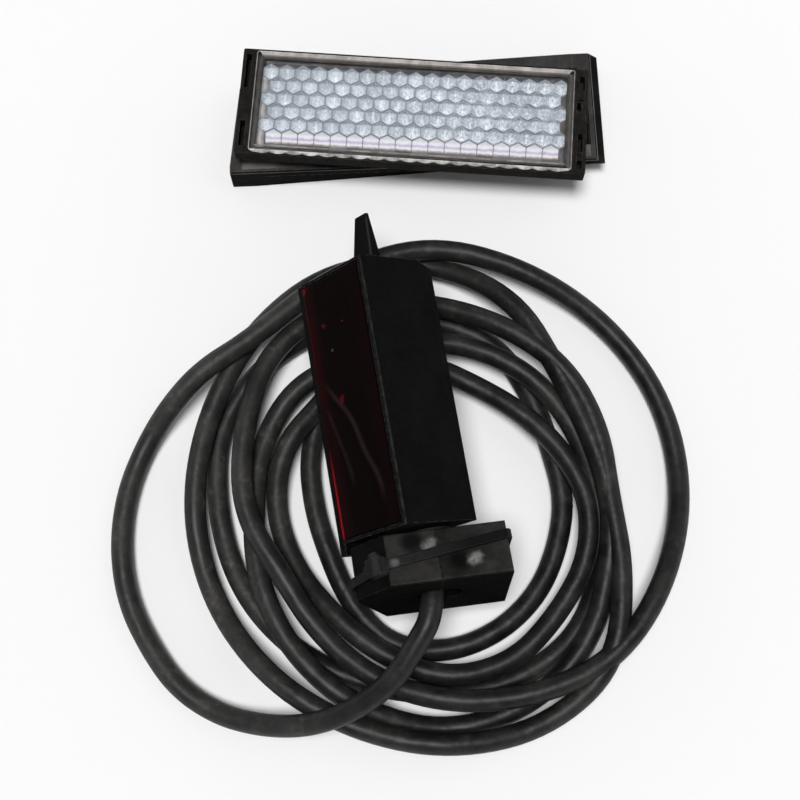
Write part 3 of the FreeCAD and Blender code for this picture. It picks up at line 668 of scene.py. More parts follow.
@dataclass(frozen=True)
class TieNylon:
    """Smooth nylon of the tie, lighter towards its head end, with painted shade on the strap beyond the head, darker
    towards its far end, and a painted highlight on its bend beside the head.
    """

    lay: Matrix
    name: str = "tie_nylon"
    dark: Colour = (0.0016, 0.0016, 0.0017)
    colour: Colour = (0.0060, 0.0060, 0.0063)
    greyed: Colour = (0.0175, 0.0177, 0.0186)
    painted_gleam: Colour = (0.10, 0.10, 0.103)
    # a painted highlight on the bend beside the head: across, up and out, and how far it reaches
    bend: Point = (1.7, -8.2, 1.0)
    reach: float = 1.7
    worn: Colour = (0.10, 0.10, 0.10)
    roughness: float = 0.36
    specular: float = 0.15

    def material(self) -> Material:
        """Build the finish's nodes.

        Returns:
            The material.
        """
        w = Surface(self.name)
        where, across, _, _ = w.local(self.lay)
        grain = w.group(Effects.grain(), Scale=3600.0)
        rub = w.group(Effects.edge_wear(), Radius=0.0002, Breakup=900.0)
        uneven = w.span(w.noise(where, 0.7, 4.0, 0.6), 0.30, 0.70, 0.55, 1.0)
        headward = w.times(w.span(across, 21.0, 2.0), w.span(across, -5.0, -3.5))
        # painted shade on the strap beyond the head, and darker towards the far end
        ends = w.most(w.span(across, -3.6, -4.6), w.span(across, 14.0, 23.0, 0.0, 0.7))
        # painted highlight on the bend
        bend = w.times(w.spot(where, self.bend, self.reach), uneven)
        colour = w.colours(w.times(headward, uneven), self.colour, self.greyed)
        colour = w.layers(colour, (ends, 1.0, self.dark), (bend, 1.0, self.painted_gleam), (rub["Mask"], 0.35, self.worn))
        rough = w.plus(w.times(grain["Tone"], 0.10), self.roughness)
        return w.finish(Base_Color=colour, Roughness=rough, Specular_IOR_Level=self.specular,
                        Normal=w.bump(grain["Height"], 0.4, 0.00002, rub["Normal"]))


@dataclass(frozen=True)
class ClearAcrylic:
    """Clear moulded acrylic that lets light through to what lies under it."""

    name: str = "prism_clear"
    colour: Colour = (0.96, 0.975, 1.0)
    shadow: Colour = (0.97, 0.98, 0.99)
    dust: Colour = (0.75, 0.74, 0.72)
    roughness: float = 0.03

    def material(self) -> Material:
        """Build the finish's nodes.

        Returns:
            The material.
        """
        w = Surface(self.name)
        film = w.group(Effects.dust(), Scale=70.0, Specks=1500.0)
        lines = w.group(Effects.scratches(), Scale=1200.0)
        rough = w.plus(w.plus(w.times(film["Film"], 0.05), self.roughness), w.times(lines["Mask"], 0.15))
        colour = w.layers(self.colour, (film["Specks"], 0.4, self.dust))
        w.finish(Base_Color=colour, Roughness=rough, Transmission_Weight=1.0, IOR=1.49)
        ray = w.add("ShaderNodeLightPath").outputs
        through = w.most(ray["Is Shadow Ray"], ray["Is Diffuse Ray"])
        clear = w.add("ShaderNodeBsdfTransparent", {"Color": self.shadow}).outputs["BSDF"]
        blend = w.add("ShaderNodeMixShader", {0: through, 1: w.shader.outputs["BSDF"], 2: clear}).outputs["Shader"]
        w.feed(w.tree.nodes["Material Output"].inputs["Surface"], blend)
        return w.material


@dataclass(frozen=True)
class FrostedEdgeWithPaintedLight:
    """The narrow frosted edges of the clear plate, which catch the light: pale as frosted acrylic and partly as painted
    highlight, with copies painted darker as shade and lighter as a highlight for the plate's ends and far side.
    """

    name: str
    low: Colour
    high: Colour

    def material(self) -> Material:
        """Build the finish's nodes.

        Returns:
            The material.
        """
        w = Surface(self.name)
        where = w.place()
        runs = w.span(w.noise(where, 260.0, 4.0, 0.65), 0.34, 0.66)
        grain = w.noise(where, 3800.0, 2.0, 0.6)
        mixed = w.plus(w.times(runs, 0.75), w.times(grain, 0.25))
        return w.finish(Base_Color=w.colours(mixed, self.low, self.high), Roughness=w.span(grain, 0.2, 0.8, 0.45, 0.6),
                        Normal=w.bump(grain, 0.4, 0.00003))


@dataclass(frozen=True)
class SilveredPrism:
    """The prism cells seen through the clear plate: pale, a little blue and mottled, a colour painted as bright as the
    light that the prisms send back, with painted sparkle towards the right, painted shade at each cell's border and a
    grey web between them.
    """

    lay: Matrix
    name: str = "prism_cells"
    dim: Colour = (0.56, 0.59, 0.62)
    bright: Colour = (0.93, 0.95, 0.96)
    web: Colour = (0.20, 0.22, 0.25)
    painted_sparkle: Colour = (0.96, 0.96, 0.96)
    murk: Colour = (0.34, 0.38, 0.43)
    gloom: Colour = (0.14, 0.155, 0.18)

    def material(self) -> Material:
        """Build the finish's nodes.

        Returns:
            The material.
        """
        w = Surface(self.name)
        where, across, _, _ = w.local(self.lay)
        rim = w.stored("rim")
        mottle = w.span(w.noise(where, 1.5, 4.0, 0.7), 0.30, 0.70)
        clouds = w.span(w.noise(where, 0.16, 3.0, 0.6), 0.35, 0.68)
        busy = w.span(across, -4.0, 22.0, 0.3, 1.0)
        mixed = w.plus(w.plus(w.times(w.stored("tone"), 0.27), w.times(mottle, 0.48)), w.times(clouds, 0.25))
        colour = w.colours(w.span(mixed, 0.10, 0.90), self.dim, self.bright)
        flecks = w.noise(where, 1.1, 4.0, 0.72)
        flecked = w.span(across, -30.0, 22.0, 0.55, 1.0)
        # painted sparkle towards the right (dark flecks and bright sparks), then painted shade towards each cell's
        # border
        colour = w.layers(colour, (w.times(w.span(flecks, 0.50, 0.41), flecked), 0.7, self.murk),
                          (w.times(w.span(flecks, 0.53, 0.60), flecked), 1.0, self.painted_sparkle),
                          (w.span(rim, 0.60, 1.0), 0.40, self.dim))
        faded = w.less(1.0, w.times(w.times(w.stored("upright"), busy), 0.6))
        faded = w.times(faded, w.span(w.times(clouds, busy), 0.0, 1.0, 1.0, 0.6))
        web = w.colours(busy, self.web, self.gloom)
        colour = w.colours(w.times(w.span(rim, 0.99, 1.05), faded), colour, web)
        return w.finish(Base_Color=colour, Roughness=w.span(clouds, 0.0, 1.0, 0.45, 0.60), Specular_IOR_Level=0.2)


@dataclass(frozen=True)
class PearlyFoot:
    """The half cells along the plate's near edge: pearly, with painted light across them: a bright highlight band, a
    lilac one and a shaded foot.
    """

    name: str = "prism_foot_row"
    # painted highlights and painted shade from each half cell's top down to its foot: place and colour
    painted_light_bands: tuple[tuple[float, Colour], ...] = (
        (0.00, (0.66, 0.68, 0.71)), (0.17, (0.78, 0.76, 0.78)), (0.26, (0.97, 0.95, 0.95)),
        (0.33, (0.95, 0.91, 0.94)), (0.38, (0.70, 0.64, 0.76)), (0.43, (0.55, 0.49, 0.63)),
        (0.50, (0.90, 0.84, 0.89)), (0.56, (0.94, 0.88, 0.89)), (0.64, (0.38, 0.34, 0.33)),
        (0.72, (0.11, 0.092, 0.086)),
    )
    pearl: Colour = (0.90, 0.88, 0.90)
    seam: Colour = (0.16, 0.15, 0.17)

    def material(self) -> Material:
        """Build the finish's nodes.

        Returns:
            The material.
        """
        w = Surface(self.name)
        where = w.place()
        stray = w.times(w.less(w.noise(where, 900.0, 3.0, 0.6), 0.5), 0.16)
        colour = w.ramp(w.plus(w.stored("drop"), stray), self.painted_light_bands)
        colour = w.layers(colour, (w.stored("tone"), 0.15, self.pearl),
                          (w.span(w.stored("rim"), 0.35, 0.95), 0.9, self.seam))
        rough = w.span(w.noise(where, 500.0), 0.2, 0.8, 0.55, 0.70)
        return w.finish(Base_Color=colour, Roughness=rough, Specular_IOR_Level=0.1)


@dataclass(frozen=True)
class PlateBorder:
    """The flat border round the cells, grey-brown, with painted shade in the notches above the top row, a far side
    lifted as painted light, and the pinkish flats that finish the short rows.
    """

    name: str = "prism_border"
    brown: Colour = (0.10, 0.085, 0.078)
    pink: Colour = (0.72, 0.66, 0.65)
    gap: Colour = (0.020, 0.018, 0.020)

    def material(self) -> Material:
        """Build the finish's nodes.

        Returns:
            The material.
        """
        w = Surface(self.name)
        flat = w.stored("flat")
        clouds = w.span(w.noise(w.place(), 420.0, 4.0, 0.6), 0.32, 0.68)
        brown = w.colours(clouds, tinted(self.brown, 0.6), self.brown)
        pink = w.colours(clouds, tinted(self.pink, 0.7), self.pink)
        colour = w.colours(w.span(flat, 0.0, -1.0), w.colours(w.span(flat, 0.0, 1.0), brown, pink), self.gap)
        return w.finish(Base_Color=colour, Roughness=w.span(clouds, 0.0, 1.0, 0.35, 0.55))


@dataclass(frozen=True)
class ClearResin:
    """Clear or tinted resin of a lens or a light-emitting diode."""

    name: str
    colour: Colour
    clear: float = 0.85

    def material(self) -> Material:
        """Build the finish's nodes.

        Returns:
            The material.
        """
        w = Surface(self.name)
        haze = w.span(w.noise(w.place(), 700.0, 3.0, 0.5), 0.35, 0.7)
        colour = w.colours(haze, tinted(self.colour, 0.8), self.colour)
        return w.finish(Base_Color=colour, Roughness=w.span(haze, 0.0, 1.0, 0.03, 0.10), IOR=1.5,
                        Transmission_Weight=self.clear)


@dataclass(frozen=True)
class VarnishedBoard:
    """A varnished circuit board with its copper runs showing through."""

    name: str = "board_green"
    green: Colour = (0.010, 0.075, 0.030)
    run: Colour = (0.030, 0.150, 0.055)
    fibre: Colour = (0.05, 0.12, 0.05)

    def material(self) -> Material:
        """Build the finish's nodes.

        Returns:
            The material.
        """
        w = Surface(self.name)
        inputs = {"Vector": w.place((0.0, 0.85, 0.13)), "Scale": 260.0, "Mortar Size": 0.09}
        runs = w.add("ShaderNodeTexBrick", inputs, offset=0.3).outputs["Fac"]
        grain = w.noise(w.place(), 900.0, 2.0, 0.5)
        colour = w.layers(w.colours(runs, self.green, self.run), (grain, 0.15, self.fibre))
        return w.finish(Base_Color=colour, Roughness=w.span(grain, 0.2, 0.8, 0.25, 0.40))


@dataclass(frozen=True)
class SatinCan:
    """The drawn aluminium can of a capacitor."""

    name: str = "capacitor_can"
    colour: Colour = (0.70, 0.70, 0.72)

    def material(self) -> Material:
        """Build the finish's nodes.

        Returns:
            The material.
        """
        w = Surface(self.name)
        drawn = w.noise(w.place((0.0, 0.85, 0.13), (1.0, 1.0, 0.06)), 2400.0, 2.0, 0.5)
        return w.finish(Base_Color=w.colours(drawn, tinted(self.colour, 0.8), self.colour), Metallic=1.0,
                        Roughness=w.span(drawn, 0.2, 0.8, 0.25, 0.42))


def dress(material: Material, *pieces: Piece) -> None:
    """Give CAD nodes or pieces one material.

    Args:
        material: their finish.
        pieces: the objects to dress.
    """
    for piece in pieces:
        if piece.material_slots:
            for slot in piece.material_slots:
                slot.material = material
        else:
            piece.data.materials.append(material)
        LOG.info("%s: %s", piece.name, material.name)


def finished(name: str, work: Work, lay: Matrix | None = None) -> Mesh:
    """Turn worked geometry into a mesh in its place.

    Args:
        name: the mesh's name.
        work: the geometry, which is used up.
        lay: where it lies, unless it is there already.

    Returns:
        The mesh.
    """
    mesh = bpy.data.meshes.new(name)
    work.to_mesh(mesh)
    work.free()
    if lay:
        mesh.transform(lay)
    return mesh


def new_corner(work: Work, x: float, y: float, z: float) -> bmesh.types.BMVert:
    """A new corner of a mesh, from millimetres."""
    return work.verts.new((x * MM, y * MM, z * MM))


def band(work: Work, lower: Ring, upper: Ring, finish: int = 0) -> None:
    """Make the faces between two rings of the same count.

    Args:
        work: the mesh to add to.
        lower: the first ring.
        upper: the second ring.
        finish: the number of the faces' material.
    """
    for step in range(len(lower)):
        after = (step + 1) % len(lower)
        work.faces.new((lower[step], lower[after], upper[after], upper[step])).material_index = finish


def put(name: str, data: bpy.types.ID) -> Piece:
    """Put an object into the scene.

    Args:
        name: the object's name.
        data: its mesh, curve, lamp or camera.

    Returns:
        The object.
    """
    thing = bpy.data.objects.new(name, data)
    bpy.context.collection.objects.link(thing)
    LOG.info("%s is in place", name)
    return thing


@dataclass
class Sensor:
    """The sensor head: its housing, window and cover, and what is inside it."""

    # the housing's rubbed edges are set strong enough to stand in for painted edge highlights as well as wear
    housing: MouldedPlastic = MouldedPlastic("housing_plastic", (0.0023, 0.0026, 0.0027), roughness=0.85, wear=0.60,
                                             dusty=0.012, specular=0.05, edge=0.0004, scratched=0.06,
                                             crest=(12.15, 0.27, 23.0),
                                             lug_highlight_line=(((70.0, 5.03), (88.0, 4.10)), ((70.0, 14.25), (88.0, 12.55))))
    inside: MouldedPlastic = MouldedPlastic("optics_plastic", (0.012, 0.012, 0.012), roughness=0.7, wear=0.1)
    rubber: MouldedPlastic = MouldedPlastic("seal_rubber", (0.014, 0.014, 0.014), roughness=0.75, wear=0.15)
    chip: MouldedPlastic = MouldedPlastic("chip_black", (0.02, 0.02, 0.02), roughness=0.55, wear=0.1)
    diode: MouldedPlastic = MouldedPlastic("diode_dark", (0.02, 0.012, 0.02), roughness=0.2, wear=0.05)
    terminal: MouldedPlastic = MouldedPlastic("terminal_plastic", (0.03, 0.16, 0.07), roughness=0.45, wear=0.1)
    sleeve: MouldedPlastic = MouldedPlastic("conductor_sleeve", (0.20, 0.08, 0.03), roughness=0.4, wear=0.05)
    corner: Point = (2.1817, -126.7328, 22.9737)
    across: Point = (0.6469, 0.0613, 0.7601)
    along: Point = (-0.1287, 0.9912, 0.0297)

    def lay(self) -> Matrix:
        """Where the sensor lies.

        Returns:
            Its turn and the place of its own corner.
        """
        across, along = Vector(self.across), Vector(self.along)
        turn = Matrix((across, along, across.cross(along))).transposed().to_4x4()
        return Matrix.Translation(Vector(self.corner) * MM) @ turn

    def build(self, nodes: dict[str, Piece]) -> None:
        """Dress the sensor's CAD nodes.

        Args:
            nodes: the frame's nodes by name.
        """
        finishes = (
            (replace(self.housing, lay=self.lay()), "housing", "side_cover"),
            (RedFilter(self.lay()), "window"),
            (self.rubber, "window_seal", "cable_grommet"),
            (ClearResin("lens_clear", (0.92, 0.94, 0.96)), "emitter_lens", "receiver_lens"),
            (self.inside, "optics_block"),
            (VarnishedBoard(), "circuit_board"),
            (ClearResin("emitter_red", (0.7, 0.03, 0.03)), "emitter_led"),
            (ClearResin("status_amber", (0.85, 0.40, 0.05)), "status_led"),
            (self.diode, "receiver_diode"),
            (self.chip, "control_chip"),
            (SatinCan(), "capacitor"),
            (self.terminal, "terminal_block"),
            (self.sleeve, "conductors"),
        )
        for finish, *names in finishes:
            dress(finish.material(), *(nodes[name] for name in names))


@dataclass
class FerriteCore:
    """The split ferrite core on the cable, and the tie that holds it."""

    corner: Point = (-14.4, -129.9, 39.0)
    turns: Point = (-11.9, 4.1, 6.25)
    # the core's outline as across and deep, with the radius of the tie's bend at each corner
    outline: tuple[Point, ...] = ((0.0, 0.0, 2.2), (31.5, 0.0, 1.1), (31.5, -24.2, 1.1), (0.0, -24.2, 1.1),
                                  (-8.3, -8.8, 1.1), (-8.3, -7.2, 1.1))
    strap_wide: float = 2.6
    strap_thick: float = 0.9
    strap_edge: float = 0.22
    gap: float = 0.24
    bend_steps: int = 6
    tilt: float = 7.8
    pivot: float = 15.75
    level: float = -6.1
    head: Point = (4.7, 5.0, 3.3)
    head_along: float = 2.3
    tail: Point = (1.5, 2.2, 1.0)
    stub: Point = (2.6, 1.9, 1.9)

    def lay(self) -> Matrix:
        """Where the core lies.

        Returns:
            Its turn and the place of its own corner.
        """
        pitch, roll, yaw = (math.radians(angle) for angle in self.turns)
        turn = Matrix.Rotation(yaw, 4, "Z") @ Matrix.Rotation(pitch, 4, "X") @ Matrix.Rotation(roll, 4, "Y")
        return Matrix.Translation(Vector(self.corner) * MM) @ turn

    def build(self, nodes: dict[str, Piece]) -> Piece:
        """Dress the core's CAD nodes and make the tie.

        Args:
            nodes: the frame's nodes by name.

        Returns:
            The tie.
        """
        dress(Ferrite(self.lay()).material(), nodes["ferrite_half_left"], nodes["ferrite_half_right"])
        tie = self.tie()
        dress(TieNylon(self.lay()).material(), tie)
        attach(tie, ROOT)
        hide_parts("cable_tie")
        return tie

    def rise(self, across: float) -> float:
        """How high the slanting tie is at a place across the core."""
        return self.level + (across - self.pivot) * math.tan(math.radians(self.tilt))

    def loop(self) -> list[tuple[Vector, Vector, float]]:
        """The strap's way round the core.

        Returns:
            Each step's centre of bend, its outward direction and its radius.
        """
        corners = [Vector(corner[:2]) for corner in self.outline]
        count = len(corners)
        runs = [(corners[(step + 1) % count] - corners[step]).normalized() for step in range(count)]
        normals = [Vector((-run.y, run.x)) for run in runs]
        steps = []
        for number, corner in enumerate(corners):
            before, after, radius = normals[number - 1], normals[number], self.outline[number][2]
            inset = (before + after) / (1.0 + before.dot(after)) * (radius - self.gap)
            for share in range(self.bend_steps + 1):
                steps.append((corner - inset, before.lerp(after, share / self.bend_steps).normalized(), radius))
        return steps

    def tie(self) -> Piece:
        """The tie: strap round the core, head with its pawl slot, cut tail and stub.

        Returns:
            The piece.
        """
        work = bmesh.new()
        half, thick, edge = self.strap_wide / 2, self.strap_thick, self.strap_edge
        section = ((0.0, -half), (thick - edge, -half), (thick, -half + edge), (thick, half - edge),
                   (thick - edge, half), (0.0, half))
        rings = []
        for centre, out, radius in self.loop():
            ring = []
            for height, side in section:
                x, z = centre + out * (radius + height)
                ring.append(work.verts.new((x, self.rise(x) + side, z)))
            rings.append(ring)
        for ring, after in zip(rings, rings[1:] + rings[:1]):
            band(work, ring, after)
        start, end = Vector(self.outline[-1][:2]), Vector(self.outline[0][:2])
        run = (end - start).normalized()
        out = Vector((-run.y, run.x))
        foot = end - run * self.head_along + out * self.gap
        long, wide, tall = self.head
        # head, pawl slot, tail and stub: the middle along the nose, up and out of it, the size and the edges' bevel
        blocks = (
            ((0.0, 0.0, tall / 2), self.head, 0.45),
            ((long / 2 + 0.25, 0.0, 1.35), (0.7, wide * 0.8, 2.3), 0.2),
            ((-long / 2 - self.tail[0] / 2 + 0.2, 0.0, 2.0), self.tail, 0.12),
            ((-0.5, wide / 2 + self.stub[1] / 2 - 0.3, 1.2), self.stub, 0.3),
        )
        for shift, size, bevel in blocks:
            self.block(work, foot, run, out, shift, size, bevel)
        bmesh.ops.recalc_face_normals(work, faces=work.faces)
        return put("tie", finished("tie", work, self.lay() @ Matrix.Scale(MM, 4)))

    def block(self, work: Work, foot: Vector, run: Vector, out: Vector, shift: Point, size: Point,
              bevel: float) -> None:
        """One block of the tie's head, with bevelled edges.

        Args:
            work: the mesh to add to.
            foot: the head's foot on the core's nose, as across and deep.
            run: the nose's direction towards the front.
            out: the direction out of the nose.
            shift: the block's middle along the nose, up and out of the nose.
            size: its size the same way.
            bevel: how much its edges are broken.
        """
        x, z = foot + run * shift[0] + out * shift[2]
        turn = Matrix(((run.x, 0.0, out.x, x), (0.0, 1.0, 0.0, self.rise(foot.x) + shift[1]), (run.y, 0.0, out.y, z),
                       (0.0, 0.0, 0.0, 1.0)))
        made = bmesh.ops.create_cube(work, size=1.0, matrix=turn @ Matrix.Diagonal((*size, 1.0)))
        edges = {edge for corner in made["verts"] for edge in corner.link_edges}
        bmesh.ops.bevel(work, geom=list(edges), offset=bevel, segments=2, profile=0.6, affect="EDGES")


@dataclass
class Cable:
    """The cable: out of the sensor, through the core, over to the left and into its loose coil."""

    diameter: float = 6.0
    length: float = 2.27
    exit: Point = (-2.16, -129.04, 27.38)
    lead: tuple[Point, ...] = (
        (-3.14, -121.51, 27.61), (-1.91, -131.03, 27.33), (-2.38, -149.76, 31.45),
        (-7.0, -157.0, 29.6), (-12.0, -164.2, 26.4), (-19.2, -170.0, 22.2), (-28.4, -174.2, 17.8),
        (-38.8, -176.0, 12.8), (-50.6, -174.8, 7.8), (-61.8, -171.2, 4.2), (-72.2, -163.8, 3.1),
        (-79.6, -153.0, 3.1), (-85.8, -140.0, 3.1), (-88.0, -124.8, 3.1), (-86.2, -109.4, 3.1),
        (-80.4, -95.2, 3.1), (-73.2, -83.6, 3.1), (-64.2, -74.0, 3.1), (-51.6, -66.6, 3.1),
    )
    lying_from: int = 10
    hub: tuple[float, float] = (1.0, -116.0)
    first_bearing: float = 112.5
    steps_per_turn: int = 16
    drawn_in: float = 1.02
    # how far each turn lies from the hub, step by step, clockwise from the far left
    turns: tuple[tuple[float, ...], ...] = (
        (72.5, 76, 73, 71, 70, 68, 66, 64, 58, 54, 51, 48, 47, 54, 58, 65),
        (64, 58, 55, 53.5, 50, 47.5, 54, 65, 67, 66, 65, 66, 67, 68, 69, 72),
        (74.5, 70.5, 64, 51, 47, 48, 50, 56, 60, 62, 60, 57, 54, 51, 52, 52),
        (46, 39.5, 35, 35, 37.5, 42, 44, 44.5, 48, 48, 44, 42, 43, 45, 46, 43),
        (47, 47, 46, 45, 44, 44, 48, 52.5, 53, 52, 53, 56, 59, 61, 65, 63),
        (59, 53, 49, 40, 35, 35, 35, 37, 39, 41, 41, 36, 33, 34, 38, 43),
        (45, 44),
    )
    low_zone: tuple[float, float, float, float] = (-38.0, 14.0, -138.0, -54.0)
    low_top: float = 7.4
    free_top: float = 12.5
    # how closely the turns are tried against each other, and how many of the last places don't count
    lay_spacing: float = 2.5
    lay_skip: int = 12
    lay_rounds: int = 2
    round_steps: int = 6
    curve_steps: int = 8

    def plan(self) -> list[Vector]:
        """The coil's points on the floor, from its outer turn to the hidden end.

        Returns:
            The points, in millimetres.
        """
        points = []
        for step, reach in enumerate(reach for turn in self.turns for reach in turn):
            bearing = math.radians(self.first_bearing - step * 360.0 / self.steps_per_turn)
            far = reach * self.drawn_in
            points.append(Vector((self.hub[0] + far * math.cos(bearing), self.hub[1] + far * math.sin(bearing),
                                  self.diameter / 2)))
        return points

    def ceiling(self, point: Vector) -> float:
        """How high the cable's middle may lie at a point: less under the sensor."""
        left, right, near, far = self.low_zone
        return self.low_top if left < point.x < right and near < point.y < far else self.free_top

    def in_sight(self, low: Vector, height: float) -> Vector:
        """A point on the floor lifted along the line of sight, so that it keeps its place in the picture.

        Args:
            low: the point as it lies flat.
            height: the height it is lifted to.

        Returns:
            The lifted point.
        """
        eye = Vector(EYE)
        return eye + (low - eye) * ((eye.z - height) / (eye.z - low.z))

    def settle(self, points: list[Vector]) -> None:
        """Lift each stretch onto those laid before it, from the hidden end outwards.

        Args:
            points: the route on the floor; their heights are changed.
        """
        laid: list[Vector] = []
        for index in range(len(points) - 2, -1, -1):
            start, end = points[index + 1], points[index]
            run = (end - start).to_2d().length
            count = max(2, int(run / self.lay_spacing))
            need = 0.0
            for number in range(count + 1):
                spot = start.lerp(end, number / count)
                for other in laid[:-self.lay_skip]:
                    apart = (spot - other).to_2d().length
                    if apart < self.diameter:
                        need = max(need, other.z + math.sqrt(self.diameter**2 - apart**2))
            for point in (start, end):
                point.z = max(point.z, min(need, self.ceiling(point)))
            laid.extend(start.lerp(end, number / count) for number in range(count))

    def build(self, carried: list[Piece]) -> None:
        """Make the cable as one smooth curve.

        Args:
            carried: the pieces that are on the cable; not used.
        """
        points = [Vector(point) for point in self.lead]
        flat = points[self.lying_from:] + self.plan()
        lying = [point.copy() for point in flat]
        for _ in range(self.lay_rounds):
            self.settle(lying)
            lying = [self.in_sight(low, high.z) for low, high in zip(flat, lying)]
        route = points[:self.lying_from] + lying
        curve = bpy.data.curves.new("cable", "CURVE")
        curve.dimensions = "3D"
        curve.bevel_depth = self.diameter / 2 * MM
        curve.bevel_resolution = self.round_steps
        curve.resolution_u = self.curve_steps
        curve.use_fill_caps = True
        spline = curve.splines.new("NURBS")
        spline.points.add(len(route) - 1)
        for knot, point in zip(spline.points, route):
            knot.co = (*(point * MM), 1.0)
        spline.order_u = 3
        spline.use_endpoint_u = True
        cable = put("cable", curve)
        dress(CableJacket().material(), cable)
        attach(cable, ROOT)
        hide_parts("cable_lead", "cable_coil")


@dataclass
class Reflector:
    """The prism reflector: clear plate and cells, its holder and the base under them."""

    holder: MouldedPlastic = MouldedPlastic("holder_plastic", (0.0140, 0.0127, 0.0121), worn=(0.16, 0.15, 0.14),
                                            roughness=0.75, wear=0.5, dusty=0.05, specular=0.015, edge=0.0004)
    # the base's rubbed edges are pale and strong enough to stand in for a painted highlight along its lit front edge as
    # well as wear
    base: MouldedPlastic = MouldedPlastic("base_plastic", (0.0060, 0.0056, 0.0054), worn=(0.22, 0.21, 0.20),
                                          roughness=0.75, wear=0.8, dusty=0.04, specular=0.015, edge=0.0005,
                                          scratched=0.10, land=9.4)
    # the plate's frosted finishes, in the order of their numbers; after the first two come copies painted darker as
    # shade for the ends and the far step, and lighter as a highlight for the far side's top
    frosted: tuple[FrostedEdgeWithPaintedLight, ...] = (
        FrostedEdgeWithPaintedLight("rim_edge", (0.20, 0.19, 0.18), (0.86, 0.84, 0.82)),
        FrostedEdgeWithPaintedLight("rim_step", (0.10, 0.088, 0.080), (0.36, 0.32, 0.29)),
        FrostedEdgeWithPaintedLight("rim_end", (0.016, 0.015, 0.013), (0.070, 0.064, 0.058)),
        FrostedEdgeWithPaintedLight("rim_far", (0.26, 0.235, 0.22), (0.52, 0.47, 0.45)),
        FrostedEdgeWithPaintedLight("rim_far_step", (0.045, 0.040, 0.035), (0.11, 0.098, 0.088)),
        FrostedEdgeWithPaintedLight("rim_end_bevel", (0.14, 0.13, 0.12), (0.40, 0.38, 0.355)),
    )
    place: Point = (-1.17, -3.67, 10.0)
    yaw: float = -6.3
    wide: float = 92.9
    high: float = 31.3
    foot: float = 5.6
    back: float = 6.05
    face: float = 9.2
    rim_top: float = 10.0
    pitch: float = 4.73
    web: float = 0.62
    sunk: float = 0.04
    shoulder: float = 0.2
    scallop: float = 0.48
    scallop_steps: int = 6
    corner_steps: int = 4
    # the plate's rounded corners get tighter towards its middle, down to the least radius
    corner_radius: float = 0.7
    corner_taper: float = 0.3
    corner_least: float = 0.2
    border_side: float = 0.95
    border_end: float = 1.3
    rim_wide: float = 2.25
    rim_lap: float = 1.2
    across: int = 19
    rows: int = 5
    first_row: float = 10.24
    half_down: float = 3.5
    cell_shift: Point = (0.3, 0.35, 0.0)
    cell_turn: float = 0.3
    trough: float = 1.1
    trough_steps: int = 10
    seam: float = 0.16
    seam_fade: float = 0.34
    seed: int = 7
    flange: float = 4.6
    slot: float = 1.5
    # each slot in the holder's ends: across, up, and how long it is
    slots: tuple[Point, ...] = ((-48.7, 9.4, 10.8), (-48.7, -10.2, 7.8), (48.7, -9.4, 10.8), (48.7, 10.2, 7.8))

    def lay(self) -> Matrix:
        """Where the holder lies on the base."""
        return Matrix.Translation(Vector(self.place) * MM) @ Matrix.Rotation(math.radians(self.yaw), 4, "Z")

    def cell_lay(self) -> Matrix:
        """Where the field of cells lies in the plate, a little off its middle."""
        shift = Matrix.Translation(Vector(self.cell_shift) * MM)
        return self.lay() @ shift @ Matrix.Rotation(math.radians(self.cell_turn), 4, "Z")

    def cell(self) -> Piece:
        """One prism cell seen from the front: the web round it, a short shaft, and the cube corner that ends it.

        Returns:
            An object that only the rows' nodes use.
        """
        outer, radius = self.pitch / math.sqrt(3), (self.pitch - self.web) / math.sqrt(3)
        edge = radius * math.sqrt(1.5)
        level = self.back - self.sunk
        deep = level - self.shoulder - 2 * edge / math.sqrt(3)
        work = bmesh.new()
        rim = work.verts.layers.float.new("rim")
        tip = new_corner(work, 0.0, 0.0, deep)
        web, brim, rise = [], [], []
        for step in range(6):
            angle = math.radians(30 + 60 * step)
            x, y = math.cos(angle), math.sin(angle)
            climb = deep + (edge / math.sqrt(3)) * (1 if step % 2 else 2)
            for ring, far, height, mark in ((web, outer, level, 1.1), (brim, radius, level, 1.0),
                                            (rise, radius, climb, 0.9)):
                ring.append(new_corner(work, x * far, y * far, height))
                ring[-1][rim] = mark
        upright = work.faces.layers.float.new("upright")
        band(work, rise, brim)
        band(work, brim, web)
        for face in work.faces:
            normal_x, normal_y = sum(v.co.x for v in face.verts), sum(v.co.y for v in face.verts)
            face[upright] = 1.0 if abs(normal_x) > 3 * abs(normal_y) else 0.0
        for step in range(0, 6, 2):
            work.faces.new((tip, rise[step - 1], rise[step], rise[step + 1]))
        return put("prism_cell", finished("prism_cell", work))

    def half_cell(self) -> Piece:
        """One half cell of the near row: a hexagon's top on a shallow trough that runs down to the rim.

        Returns:
            An object that only the rows' nodes use.
        """
        radius, half = self.pitch / math.sqrt(3), self.pitch / 2
        level = self.back - self.sunk
        places = (-half, -half + self.seam, -half + self.seam_fade, 0.0, half - self.seam_fade, half - self.seam, half)
        work = bmesh.new()
        rim, drop = work.verts.layers.float.new("rim"), work.verts.layers.float.new("drop")
        rows = []
        for number in range(self.trough_steps + 1):
            share = number / self.trough_steps
            row = []
            for x in places:
                top = radius - abs(x) / math.sqrt(3)
                y = top + (-self.half_down - top) * share
                point = new_corner(work, x, y, level - self.trough * math.sin(math.pi * share))
                point[rim] = max(0.0, 1.0 - (half - abs(x)) / self.seam_fade) if number else 1.0
                point[drop] = min(1.0, max(0.0, (radius - y) / (radius + self.half_down)))
                row.append(point)
            rows.append(row)
        for upper, lower in zip(rows, rows[1:]):
            for left in range(len(places) - 1):
                work.faces.new((lower[left], lower[left + 1], upper[left + 1], upper[left]))
        return put("half_cell", finished("half_cell", work))

